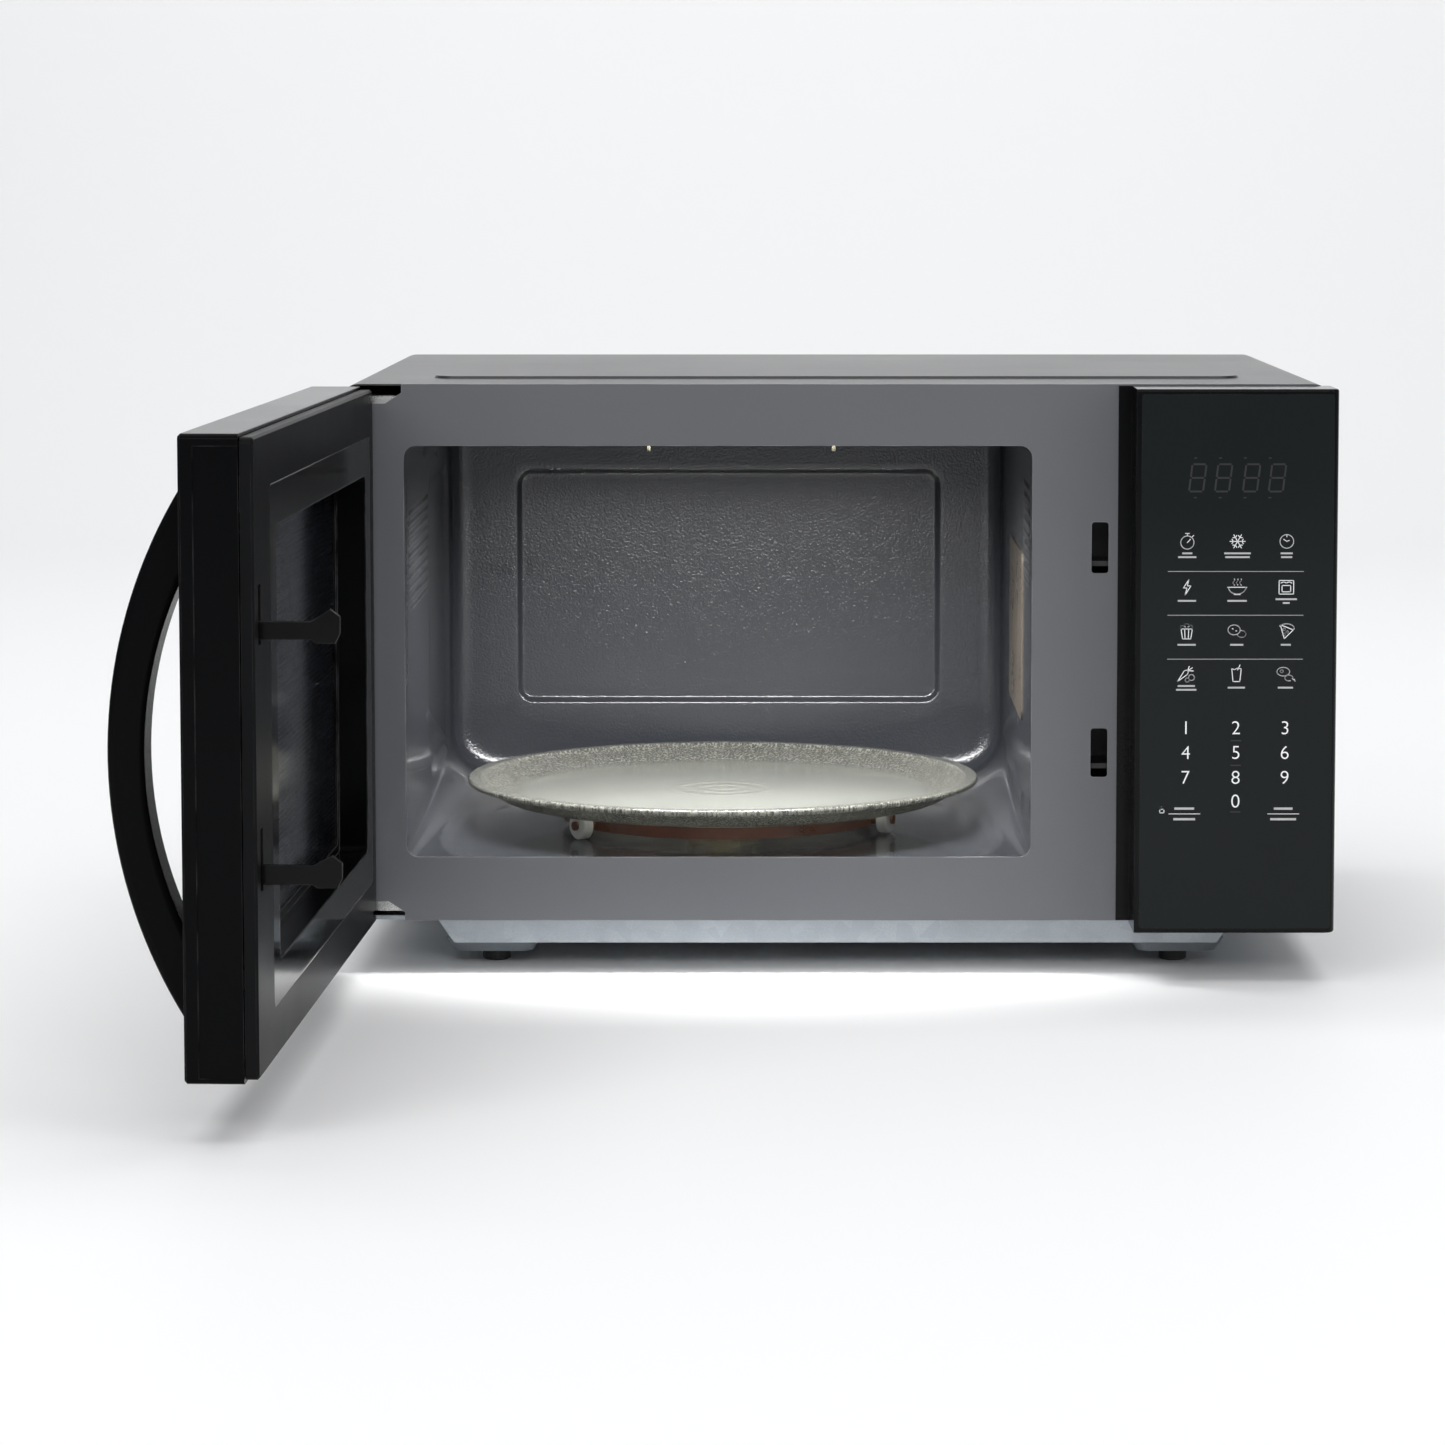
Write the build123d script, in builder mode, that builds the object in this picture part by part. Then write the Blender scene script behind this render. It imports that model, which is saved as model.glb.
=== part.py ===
"""Countertop microwave oven with grill: sheet-metal cabinet, enamelled cavity, hinged door standing open.

Millimetres, +X right, +Y back, +Z up.  The origin is on the standing plane, under the cabinet's middle.
"""
import os
from math import cos, pi, radians, sin

from build123d import *

os.makedirs("parts", exist_ok=True)

# ---------------------------------------------------------------- driving dimensions
# Cabinet
WIDTH = 486.0
DEPTH = 343.0
HEIGHT = 292.0
SHEET = 0.8
EMBOSS = 1.2
SIDE_X = WIDTH / 2
FRONT_Y = -DEPTH / 2
BACK_Y = DEPTH / 2
ROOF_Z = HEIGHT - EMBOSS
FRAME_Z = 25.3
SKIRT_Z = FRAME_Z
INNER_X = SIDE_X - SHEET
FRAME_BACK_Y = FRONT_Y + SHEET
REAR_LIP_Y = BACK_Y - SHEET
REAR_PANEL_Y = REAR_LIP_Y - SHEET

LIP_SCREWS = [(-SIDE_X + 7, 60.0), (-SIDE_X + 7, 240.0), (SIDE_X - 7, 110.0), (SIDE_X - 7, 240.0)]
LIP_SCREWS += [(-120.0, ROOF_Z - 7), (120.0, ROOF_Z - 7)]
SCREW_R = 1.6
SCREW_HEAD_R = 3.6
SCREW_HEAD_TALL = 1.8

# Oven cavity (inner faces)
CAV_LEFT = -212.0
CAV_RIGHT = 96.4
CAV_FLOOR = 56.9
CAV_ROOF = 260.5
CAV_BACK = 138.5
CAV_WALL_X = CAV_RIGHT + SHEET
DISH_Z = 50.2

# Turntable
TABLE_X = -57.8
TABLE_Y = -13.5
TRAY_R = 135.0
TRAY_Z = 65.0
WHEEL_R = 7.1
WHEEL_TRACK_R = 92.0
WHEEL_ANGLES = (-142.0, -22.0, 98.0)
AXLE_R = 1.5
RUNNING_FIT = 0.05

# Control panel
PANEL_LEFT = 145.0
PANEL_DEPTH = 33.0
PANEL_FRONT_Y = FRONT_Y - PANEL_DEPTH
FRONT_TOP_Z = 290.0
FRONT_LOW_Z = 24.6
FRONT_TALL = FRONT_TOP_Z - FRONT_LOW_Z

# Door, in its own frame: u along the width from the hinge axis, v into the oven, z up
HINGE_X = -236.5
HINGE_Y = FRONT_Y - 12.0
DOOR_ANGLE = radians(-91.85)
DOOR_U0 = -6.5
DOOR_U1 = 380.0
DOOR_V0 = -20.5
DOOR_V1 = 10.0
SHELL_V1 = 4.0
PIN_R = 3.0
ARM_THICK = 2.0
UPPER_ARM_Z = 283.0
LOWER_ARM_Z = 30.0
PIN_LONG = 14.0
LATCH_U = 365.5
LATCH_THICK = 3.0
BAR_Z0 = 98.0
BAR_Z1 = 224.0
WIRE_R = 0.4
SPRING_LONG = 20.0
SEAT_Z = BAR_Z1 + 0.4 + SPRING_LONG + 2 * WIRE_R


# ---------------------------------------------------------------- planes and small helpers
def upright(y):
    """Plane at depth y whose sketches read (x, z); extruding a negative amount goes towards the back."""
    return Plane.XZ.offset(-y)


def flat(z):
    """Horizontal plane at height z whose sketches read (x, y)."""
    return Plane.XY.offset(z)


def side(x):
    """Plane at x whose sketches read (y, z); extruding goes to the right."""
    return Plane.YZ.offset(x)


def door_face(v):
    """Door plane at depth v whose sketches read (u, z); extruding goes towards the door's front."""
    face = Plane(
        origin=(HINGE_X, HINGE_Y, 0),
        x_dir=(cos(DOOR_ANGLE), sin(DOOR_ANGLE), 0),
        z_dir=(sin(DOOR_ANGLE), -cos(DOOR_ANGLE), 0),
    )
    return face.offset(-v)


def door_flat(z):
    """Horizontal plane at height z whose sketches read the door's (u, v)."""
    return Plane(
        origin=(HINGE_X, HINGE_Y, z),
        x_dir=(cos(DOOR_ANGLE), sin(DOOR_ANGLE), 0),
        z_dir=(0, 0, 1),
    )


def door_side(u):
    """Plane across the door at u whose sketches read (v, z); extruding goes towards the free edge."""
    along = Vector(cos(DOOR_ANGLE), sin(DOOR_ANGLE), 0)
    return Plane(
        origin=Vector(HINGE_X, HINGE_Y, 0) + along * u,
        x_dir=(-sin(DOOR_ANGLE), cos(DOOR_ANGLE), 0),
        z_dir=along,
    )


def span(x0, x1, z0, z1, radius=0.0, mode=Mode.ADD):
    """Sketch rectangle between two corners, with rounded corners if a radius is given."""
    with Locations(((x0 + x1) / 2, (z0 + z1) / 2)):
        if radius > 0:
            RectangleRounded(abs(x1 - x0), abs(z1 - z0), radius, mode=mode)
        else:
            Rectangle(abs(x1 - x0), abs(z1 - z0), mode=mode)


def block(x0, x1, y0, y1, z0, z1, mode=Mode.ADD):
    """Box between two corners, added to the open part."""
    with Locations(((x0 + x1) / 2, (y0 + y1) / 2, (z0 + z1) / 2)):
        Box(x1 - x0, y1 - y0, z1 - z0, mode=mode)


def rod(plane, u, v, radius, length, mode=Mode.ADD):
    """Cylinder raised from a plane at (u, v)."""
    with BuildSketch(plane) as disc:
        with Locations((u, v)):
            Circle(radius)
    extrude(disc.sketch, amount=length, mode=mode)


# ---------------------------------------------------------------- outer cover
# One folded steel sheet: two sides, a roof with a shallow raised field, and a narrow lip at the back.
COVER_R = 9.0
FIELD_LEFT = -203.0
FIELD_RIGHT = 205.0
FIELD_FRONT_Y = FRONT_Y + 56.0
FIELD_BACK_Y = BACK_Y - 34.0
LIP = 12.0
VENT_PITCH = 7.0

VENT_LONG = 22.0
VENT_TALL = 3.0
SIDE_VENTS = ((90.0, 235.0, 2, 6), (100.0, 70.0, 2, 6))


def cover_section(half, top, radius):
    """Arch of the cover's section: a rectangle with its two upper corners rounded."""
    span(-half, half, SKIRT_Z, top)
    fillet(vertices().group_by(Axis.Y)[-1], radius)


with BuildPart() as outer_cover:
    with BuildSketch(upright(FRAME_BACK_Y)):
        cover_section(SIDE_X, ROOF_Z, COVER_R)
    extrude(amount=-(BACK_Y - FRAME_BACK_Y))
    with BuildSketch(upright(FRAME_BACK_Y)):
        cover_section(INNER_X, ROOF_Z - SHEET, COVER_R - SHEET)
    extrude(amount=-(REAR_LIP_Y - FRAME_BACK_Y), mode=Mode.SUBTRACT)
    with BuildSketch(upright(REAR_LIP_Y)):
        cover_section(INNER_X - LIP, ROOF_Z - LIP, COVER_R)
    extrude(amount=-SHEET, mode=Mode.SUBTRACT)
    with BuildSketch(upright(REAR_LIP_Y)):
        with Locations(*LIP_SCREWS):
            Circle(SCREW_R + 0.1)
    extrude(amount=-SHEET, mode=Mode.SUBTRACT)
    with BuildSketch(flat(ROOF_Z - SHEET)):
        span(FIELD_LEFT, FIELD_RIGHT, FIELD_FRONT_Y, FIELD_BACK_Y, 14)
    extrude(amount=EMBOSS + SHEET, taper=40)
    with BuildSketch(flat(ROOF_Z - SHEET)):
        span(FIELD_LEFT + SHEET, FIELD_RIGHT - SHEET, FIELD_FRONT_Y + SHEET, FIELD_BACK_Y - SHEET, 13.2)
    extrude(amount=EMBOSS, taper=40, mode=Mode.SUBTRACT)
    for vent_y, vent_z, columns, rows in SIDE_VENTS:
        with BuildSketch(side(-SIDE_X - 1)):
            with Locations((vent_y, vent_z)):
                with GridLocations(VENT_LONG + 6, VENT_PITCH, columns, rows):
                    SlotOverall(VENT_LONG, VENT_TALL)
        extrude(amount=2 + SHEET, mode=Mode.SUBTRACT)
        with BuildSketch(side(INNER_X - 1)):
            with Locations((vent_y, vent_z)):
                with GridLocations(VENT_LONG + 6, VENT_PITCH, columns, rows):
                    SlotOverall(VENT_LONG, VENT_TALL)
        extrude(amount=2 + SHEET, mode=Mode.SUBTRACT)
outer_cover.part.label = "outer_cover"
export_step(outer_cover.part, "parts/outer_cover.step")

# ---------------------------------------------------------------- base plate and feet
# Galvanised pan: level shoulders under the cabinet's edges, sloped ends, four pads pressed down for the feet.
PAN_Z = 13.7
PAD_Z = 7.6
PAN_TOP_Z = FRAME_Z + 2.0
PAN_HALF_X = SIDE_X - 2.0
PAN_DROP_X = 197.0
PAN_FLOOR_X = 189.0
PAN_FRONT_Y = FRONT_Y + 3.0
PAN_BACK_Y = REAR_PANEL_Y
FOOT_X = 170.0
FOOT_FRONT_Y = FRONT_Y + 36.0
FOOT_REAR_Y = BACK_Y - 41.0
FOOT_R = 7.0
PAD_WIDE = 46.0
PAD_DEEP = 52.0
PAD_R = 10.0
PAD_TAPER = 35.0
FEET = [(sx * FOOT_X, y) for sx in (-1, 1) for y in (FOOT_FRONT_Y, FOOT_REAR_Y)]
FOOT_SCREW_R = 2.0


def pan_section(inset, low, shoulder):
    """Profile of the pan seen from the front: shoulders, sloped ends and a flat floor."""
    Polyline(
        (-PAN_HALF_X + inset, PAN_TOP_Z),
        (-PAN_HALF_X + inset, shoulder),
        (-PAN_DROP_X + inset, shoulder),
        (-PAN_FLOOR_X + inset / 2, low),
        (PAN_FLOOR_X - inset / 2, low),
        (PAN_DROP_X - inset, shoulder),
        (PAN_HALF_X - inset, shoulder),
        (PAN_HALF_X - inset, PAN_TOP_Z),
        close=True,
    )


def foot_pads(grow, top):
    """Outline of the four pads at the pan's floor, seen from above."""
    with BuildSketch(flat(top)) as outline:
        with Locations(*FEET):
            RectangleRounded(PAD_WIDE + grow, PAD_DEEP + grow, PAD_R + grow / 2)
    return outline.sketch


with BuildPart() as base_plate:
    with BuildSketch(upright(PAN_FRONT_Y)):
        with BuildLine():
            pan_section(0.0, PAN_Z, FRAME_Z)
        make_face()
    extrude(amount=-(PAN_BACK_Y - PAN_FRONT_Y))
    extrude(foot_pads(2 * SHEET, PAN_Z), amount=-(PAN_Z - PAD_Z), taper=PAD_TAPER)
    with BuildSketch(upright(PAN_FRONT_Y + SHEET)):
        with BuildLine():
            pan_section(SHEET, PAN_Z + SHEET, FRAME_Z + SHEET)
        make_face()
    extrude(amount=-(PAN_BACK_Y - PAN_FRONT_Y - 2 * SHEET), mode=Mode.SUBTRACT)
    extrude(foot_pads(0.0, PAN_Z + SHEET), amount=-(PAN_Z - PAD_Z), taper=PAD_TAPER, mode=Mode.SUBTRACT)
    with BuildSketch(flat(PAD_Z - 1)):
        with Locations(*FEET):
            Circle(FOOT_SCREW_R + 0.2)
    extrude(amount=2 + SHEET, mode=Mode.SUBTRACT)
    with BuildSketch(flat(PAN_Z - 1)):
        for vent_x in (-110.0, 100.0):
            with Locations((vent_x, 40.0)):
                with GridLocations(9.0, 26.0, 6, 2):
                    SlotOverall(20.0, 4.0, rotation=90)
    extrude(amount=2 + SHEET, mode=Mode.SUBTRACT)
base_plate.part.label = "base_plate"
export_step(base_plate.part, "parts/base_plate.step")


def make_feet(spots):
    """Rubber foot: a plain round stud with a chamfered sole and a countersunk screw from below."""
    for x, y in spots:
        rod(flat(0), x, y, FOOT_R, PAD_Z)
    chamfer(faces().filter_by(Axis.Z).group_by(Axis.Z)[0].edges(), 0.8)
    with Locations(*[Pos(x, y, 0) * Rot(180, 0, 0) for x, y in spots]):
        CounterSinkHole(FOOT_SCREW_R, FOOT_SCREW_R * 2, depth=PAD_Z)


with BuildPart() as front_feet:
    make_feet([spot for spot in FEET if spot[1] < 0])
front_feet.part.label = "front_feet"
export_step(front_feet.part, "parts/front_feet.step")

with BuildPart() as rear_feet:
    make_feet([spot for spot in FEET if spot[1] > 0])
rear_feet.part.label = "rear_feet"
export_step(rear_feet.part, "parts/rear_feet.step")

# ---------------------------------------------------------------- rear panel
# Flat steel sheet with the fan's air holes, a block of outlet slots and the hole of the cord's gland.
FAN_X = 178.0
FAN_Z = 150.0
FAN_R = 48.0
GLAND_X = 205.0
GLAND_Z = 50.0
GLAND_R = 8.0

with BuildPart() as rear_panel:
    with BuildSketch(upright(REAR_PANEL_Y)):
        span(-INNER_X, INNER_X, SKIRT_Z, ROOF_Z - SHEET)
        fillet(vertices().group_by(Axis.Y)[-1], COVER_R - SHEET)
        with Locations((FAN_X, FAN_Z)):
            Circle(5, mode=Mode.SUBTRACT)
            for ring, count in ((14, 8), (23, 14), (32, 20), (41, 26)):
                with PolarLocations(ring, count):
                    Circle(3.4, mode=Mode.SUBTRACT)
        with Locations((GLAND_X, GLAND_Z)):
            Circle(GLAND_R, mode=Mode.SUBTRACT)
        with Locations((-70, 215)):
            with GridLocations(30, 8, 5, 5):
                SlotOverall(24, 3.2, mode=Mode.SUBTRACT)
        with Locations(*LIP_SCREWS):
            Circle(SCREW_R + 0.1, mode=Mode.SUBTRACT)
    extrude(amount=-SHEET)
rear_panel.part.label = "rear_panel"
export_step(rear_panel.part, "parts/rear_panel.step")

# Moulded gland that lines the cord's hole from both sides of the rear panel; its bore is the inlet.
with BuildPart() as cord_gland:
    rod(upright(REAR_LIP_Y), GLAND_X, GLAND_Z, GLAND_R + 3.5, -2.5)
    rod(upright(REAR_PANEL_Y), GLAND_X, GLAND_Z, GLAND_R, -SHEET)
    rod(upright(REAR_PANEL_Y - 6), GLAND_X, GLAND_Z, GLAND_R + 2.5, -6)
    rod(upright(REAR_PANEL_Y - 7), GLAND_X, GLAND_Z, 4.0, -12, mode=Mode.SUBTRACT)
cord_gland.part.label = "cord_gland"
export_step(cord_gland.part, "parts/cord_gland.step")



# ---------------------------------------------------------------- screws
def make_screws(plane, spots, out, shank):
    """Screws with a flat head on the plane, a cross recess, and a shank through it; out is +1 or -1."""
    for u, v in spots:
        rod(plane, u, v, SCREW_HEAD_R, out * SCREW_HEAD_TALL)
        rod(plane, u, v, SCREW_R, -out * shank)
        with BuildSketch(plane.offset(out * SCREW_HEAD_TALL)) as cross:
            with Locations((u, v)):
                Rectangle(4.4, 0.9)
                Rectangle(0.9, 4.4)
        extrude(cross.sketch, amount=-out * 1.1, mode=Mode.SUBTRACT)


with BuildPart() as cover_screws:
    make_screws(upright(BACK_Y), LIP_SCREWS, -1, 6.0)
cover_screws.part.label = "cover_screws"
export_step(cover_screws.part, "parts/cover_screws.step")

# ---------------------------------------------------------------- front frame
# Enamelled steel sheet around the oven's mouth, notched at both hinge corners, with two latch slots.
SLOT_LEFT = 125.7
SLOT_RIGHT = 134.0
LATCH_SLOTS = ((197.8, 223.0), (96.8, 121.0))
NOTCH_TALL = 9.5
NOTCH_LEFT = -SIDE_X - 1
NOTCH_RIGHT = -213.0
MOUTH_R = 6.0
PASSAGE = (154.0, 234.0, 42.0, 274.0)
FLANGE_DEEP = 9.0


def notch(z_edge, z_deep):
    """Corner notch with a slanted inner end."""
    Polygon(
        (NOTCH_LEFT, z_edge),
        (NOTCH_RIGHT, z_edge),
        (NOTCH_RIGHT, (z_edge + z_deep) / 2),
        (NOTCH_RIGHT - 8.0, z_deep),
        (NOTCH_LEFT, z_deep),
        align=None,
        mode=Mode.SUBTRACT,
    )


with BuildPart() as front_frame:
    with BuildSketch(upright(FRONT_Y)):
        span(-SIDE_X, SIDE_X, FRAME_Z, ROOF_Z)
        fillet(vertices().group_by(Axis.Y)[-1], COVER_R)
        span(CAV_LEFT, CAV_RIGHT, CAV_FLOOR, CAV_ROOF, MOUTH_R, mode=Mode.SUBTRACT)
        for slot_low, slot_high in LATCH_SLOTS:
            span(SLOT_LEFT, SLOT_RIGHT, slot_low, slot_high, 1.5, mode=Mode.SUBTRACT)
        span(*PASSAGE, 4.0, mode=Mode.SUBTRACT)
        notch(ROOF_Z + 1, ROOF_Z - NOTCH_TALL)
        notch(FRAME_Z - 1, FRAME_Z + NOTCH_TALL)
    extrude(amount=-SHEET)
    block(-205, 228, FRAME_BACK_Y, FRAME_BACK_Y + FLANGE_DEEP, ROOF_Z - 3 * SHEET, ROOF_Z - 2 * SHEET)
    block(-205, 228, FRAME_BACK_Y, FRAME_BACK_Y + FLANGE_DEEP, FRAME_Z + 3 * SHEET, FRAME_Z + 4 * SHEET)
front_frame.part.label = "front_frame"
export_step(front_frame.part, "parts/front_frame.step")

# ---------------------------------------------------------------- cavity
# Enamelled box: recessed field in the back wall, dished floor, grill recess in the roof, vent holes.
CAV_R = 6.0
PANEL_X0 = -174.5
PANEL_X1 = 61.0
PANEL_Z0 = 97.3
PANEL_Z1 = 227.0
PRESS_DEEP = 4.0
DISH_X0 = -203.0
DISH_X1 = 88.0
DISH_Y0 = FRONT_Y + 5.0
DISH_Y1 = 116.0
DISH_R = 95.0
GRILL_X0 = -150.0
GRILL_X1 = 40.0
GRILL_Y0 = -92.0
GRILL_Y1 = 68.0
GRILL_DEEP = 13.0
HEATER_Z = CAV_ROOF + 6.0
HEATER_R = 3.25
HEATER_YS = (-60.0, 36.0)
HEATER_LEFT = -132.0
HEATER_END = GRILL_X1 + 12.0
SHAFT_HOLE_R = 9.0
WINDOW_Y0 = -62.0
WINDOW_Y1 = 22.0
WINDOW_Z0 = 130.0
WINDOW_Z1 = 186.0
LAMP_Y = -108.0
LAMP_Z = 215.0
LAMP_VENT_Y = -121.0
VENT_R = 1.3


FIELD_Y0 = -20.0
FIELD_Y1 = 108.0
FIELD_Z0 = 75.5
FIELD_Z1 = 232.0
FIELD_DEEP = 1.5


def cavity_block(grow):
    """Mouth of the cavity, grown by the sheet's thickness for the outer face."""
    with BuildSketch(upright(FRAME_BACK_Y)) as mouth:
        span(CAV_LEFT - grow, CAV_RIGHT + grow, CAV_FLOOR - grow, CAV_ROOF + grow, CAV_R + grow)
    return mouth.sketch


with BuildPart() as cavity_space:
    extrude(cavity_block(0.0), amount=-(CAV_BACK - FRAME_BACK_Y))
    fillet(faces().sort_by(Axis.Y)[-1].edges(), CAV_R - 0.1)
    with BuildSketch(upright(CAV_BACK - 1)):
        span(PANEL_X0, PANEL_X1, PANEL_Z0, PANEL_Z1, 8)
    extrude(amount=-(PRESS_DEEP + 1))
    with BuildSketch(flat(CAV_FLOOR)):
        span(DISH_X0, DISH_X1, DISH_Y0, DISH_Y1, DISH_R)
    extrude(amount=-(CAV_FLOOR - DISH_Z), taper=20)
    with BuildSketch(flat(CAV_ROOF - 1)):
        span(GRILL_X0, GRILL_X1, GRILL_Y0, GRILL_Y1, 12)
    extrude(amount=GRILL_DEEP + 1)
    with BuildSketch(side(CAV_LEFT + 1)):
        span(FIELD_Y0, FIELD_Y1, FIELD_Z0, FIELD_Z1, 16)
    extrude(amount=-(FIELD_DEEP + 1))

with BuildPart() as cavity_box:
    extrude(cavity_block(SHEET), amount=-(CAV_BACK + SHEET - FRAME_BACK_Y))
    fillet(faces().sort_by(Axis.Y)[-1].edges(), CAV_R + SHEET - 0.1)
    with BuildSketch(upright(CAV_BACK)):
        span(PANEL_X0 - SHEET, PANEL_X1 + SHEET, PANEL_Z0 - SHEET, PANEL_Z1 + SHEET, 8 + SHEET)
    extrude(amount=-(PRESS_DEEP + SHEET))
    with BuildSketch(flat(CAV_FLOOR)):
        span(DISH_X0 - SHEET, DISH_X1 + SHEET, DISH_Y0 - SHEET, DISH_Y1 + SHEET, DISH_R + SHEET)
    extrude(amount=-(CAV_FLOOR - DISH_Z + SHEET), taper=18)
    with BuildSketch(flat(CAV_ROOF)):
        span(GRILL_X0 - SHEET, GRILL_X1 + SHEET, GRILL_Y0 - SHEET, GRILL_Y1 + SHEET, 12 + SHEET)
    extrude(amount=GRILL_DEEP + SHEET)
    with BuildSketch(side(CAV_LEFT)):
        span(FIELD_Y0 - SHEET, FIELD_Y1 + SHEET, FIELD_Z0 - SHEET, FIELD_Z1 + SHEET, 16 + SHEET)
    extrude(amount=-(FIELD_DEEP + SHEET))
    add(cavity_space.part, mode=Mode.SUBTRACT)
    rod(flat(DISH_Z - 2), TABLE_X, TABLE_Y, SHAFT_HOLE_R, 4, mode=Mode.SUBTRACT)
    for heater_y in HEATER_YS:
        rod(side(GRILL_X1 - 2), heater_y, HEATER_Z, HEATER_R + 0.3, 5, mode=Mode.SUBTRACT)
    with BuildSketch(side(CAV_RIGHT - 1)):
        span(WINDOW_Y0, WINDOW_Y1, WINDOW_Z0, WINDOW_Z1, 3)
        with Locations((LAMP_VENT_Y, LAMP_Z)):
            with GridLocations(7.0, 6.0, 8, 8):
                Circle(1.8)
    extrude(amount=1 + 2 * SHEET, mode=Mode.SUBTRACT)
    with BuildSketch(side(CAV_LEFT - 2)):
        with Locations((FRONT_Y + 8, 191.5)):
            with GridLocations(3.5, 3.5, 1, 30):
                Circle(VENT_R)
        with Locations((FRONT_Y + 80, 203.5)):
            with GridLocations(7.0, 7.0, 16, 5):
                Circle(VENT_R * 1.3)
    extrude(amount=3, mode=Mode.SUBTRACT)
cavity_box.part.label = "cavity_box"
export_step(cavity_box.part, "parts/cavity_box.step")

# ---------------------------------------------------------------- waveguide, its mica cover and the magnetron
GUIDE_X1 = 134.0
GUIDE_Y0 = -70.0
GUIDE_Y1 = 30.0
GUIDE_Z0 = 122.0
GUIDE_Z1 = 236.0
MAGNET_Z = 212.0
MAGNET_Y = -20.0
ANTENNA_R = 8.0

with BuildPart() as waveguide_cover:
    with BuildSketch(side(CAV_RIGHT - 0.6)):
        span(-88.5, 34.0, 114.0, 200.0, 6)
        with Locations((-82, 120), (-82, 194), (28, 120), (28, 194)):
            Circle(1.6, mode=Mode.SUBTRACT)
    extrude(amount=0.6)
waveguide_cover.part.label = "waveguide_cover"
export_step(waveguide_cover.part, "parts/waveguide_cover.step")

with BuildPart() as waveguide:
    block(CAV_WALL_X, GUIDE_X1, GUIDE_Y0, GUIDE_Y1, GUIDE_Z0, GUIDE_Z1)
    block(
        CAV_WALL_X, GUIDE_X1 - 1.2, GUIDE_Y0 + 1.2, GUIDE_Y1 - 1.2, GUIDE_Z0 + 1.2, GUIDE_Z1 - 1.2,
        mode=Mode.SUBTRACT,
    )
    block(CAV_WALL_X, CAV_WALL_X + 1.2, GUIDE_Y0 + 1.2, GUIDE_Y1 - 1.2, WINDOW_Z1 + 2, GUIDE_Z1 - 1.2)
    block(CAV_WALL_X, CAV_WALL_X + 1.2, GUIDE_Y0 - 9, GUIDE_Y0, GUIDE_Z0 + 8, GUIDE_Z1 - 8)
    block(CAV_WALL_X, CAV_WALL_X + 1.2, GUIDE_Y1, GUIDE_Y1 + 9, GUIDE_Z0 + 8, GUIDE_Z1 - 8)
    rod(side(GUIDE_X1 - 2), MAGNET_Y, MAGNET_Z, ANTENNA_R + 1.5, 3, mode=Mode.SUBTRACT)
waveguide.part.label = "waveguide"
export_step(waveguide.part, "parts/waveguide.step")

# Magnetron: a bent steel yoke around two ring magnets and the anode, antenna pointing into the waveguide.
YOKE_X1 = GUIDE_X1 + 76.0
YOKE_HALF = 44.0
YOKE_TALL = 33.0
with BuildPart() as magnetron:
    yoke_y = (MAGNET_Y - YOKE_HALF, MAGNET_Y + YOKE_HALF)
    block(GUIDE_X1, YOKE_X1, *yoke_y, MAGNET_Z - YOKE_TALL, MAGNET_Z + YOKE_TALL)
    block(
        GUIDE_X1 + 2, YOKE_X1 - 2, MAGNET_Y - YOKE_HALF - 1, MAGNET_Y + YOKE_HALF + 1,
        MAGNET_Z - YOKE_TALL + 2, MAGNET_Z + YOKE_TALL - 2, mode=Mode.SUBTRACT,
    )
    rod(side(GUIDE_X1 + 2), MAGNET_Y, MAGNET_Z, 27, 12)
    rod(side(YOKE_X1 - 2), MAGNET_Y, MAGNET_Z, 27, -12)
    rod(side(GUIDE_X1 + 14), MAGNET_Y, MAGNET_Z, 19, YOKE_X1 - GUIDE_X1 - 28)
    rod(side(GUIDE_X1), MAGNET_Y, MAGNET_Z, ANTENNA_R, -24)
    block(YOKE_X1, YOKE_X1 + 20, MAGNET_Y - 22, MAGNET_Y + 22, MAGNET_Z - 18, MAGNET_Z + 18)
magnetron.part.label = "magnetron"
export_step(magnetron.part, "parts/magnetron.step")

FIN_COUNT = 9
FIN_PITCH = 4.6
with BuildPart() as magnetron_fins:
    for index in range(FIN_COUNT):
        fin_x = GUIDE_X1 + 38 + (index - (FIN_COUNT - 1) / 2) * FIN_PITCH
        with BuildSketch(side(fin_x)):
            with Locations((MAGNET_Y, MAGNET_Z)):
                Rectangle(2 * YOKE_HALF - 4, 2 * YOKE_TALL - 8)
                Circle(19.3, mode=Mode.SUBTRACT)
        extrude(amount=0.5)
magnetron_fins.part.label = "magnetron_fins"
export_step(magnetron_fins.part, "parts/magnetron_fins.step")

# Sheet-metal guide that leads the fan's air from the magnetron towards the lamp.
with BuildPart() as air_guide:
    block(GUIDE_X1 + 1, YOKE_X1, -112, MAGNET_Y - YOKE_HALF - 2, MAGNET_Z - YOKE_TALL, MAGNET_Z + YOKE_TALL)
    block(
        GUIDE_X1 + 2, YOKE_X1 - 1, -113, MAGNET_Y - YOKE_HALF - 1,
        MAGNET_Z - YOKE_TALL + 1, MAGNET_Z + YOKE_TALL - 1, mode=Mode.SUBTRACT,
    )
air_guide.part.label = "air_guide"
export_step(air_guide.part, "parts/air_guide.step")

# ---------------------------------------------------------------- high-voltage parts on the base
PAN_FLOOR_Z = PAN_Z + SHEET
CORE_X0 = 98.4
CORE_X1 = 188.4
CORE_Y0 = -105.0
CORE_Y1 = -45.0
CORE_TALL = 70.0
LIMB = 15.0
WINDOW_WIDE = 18.0

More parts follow.
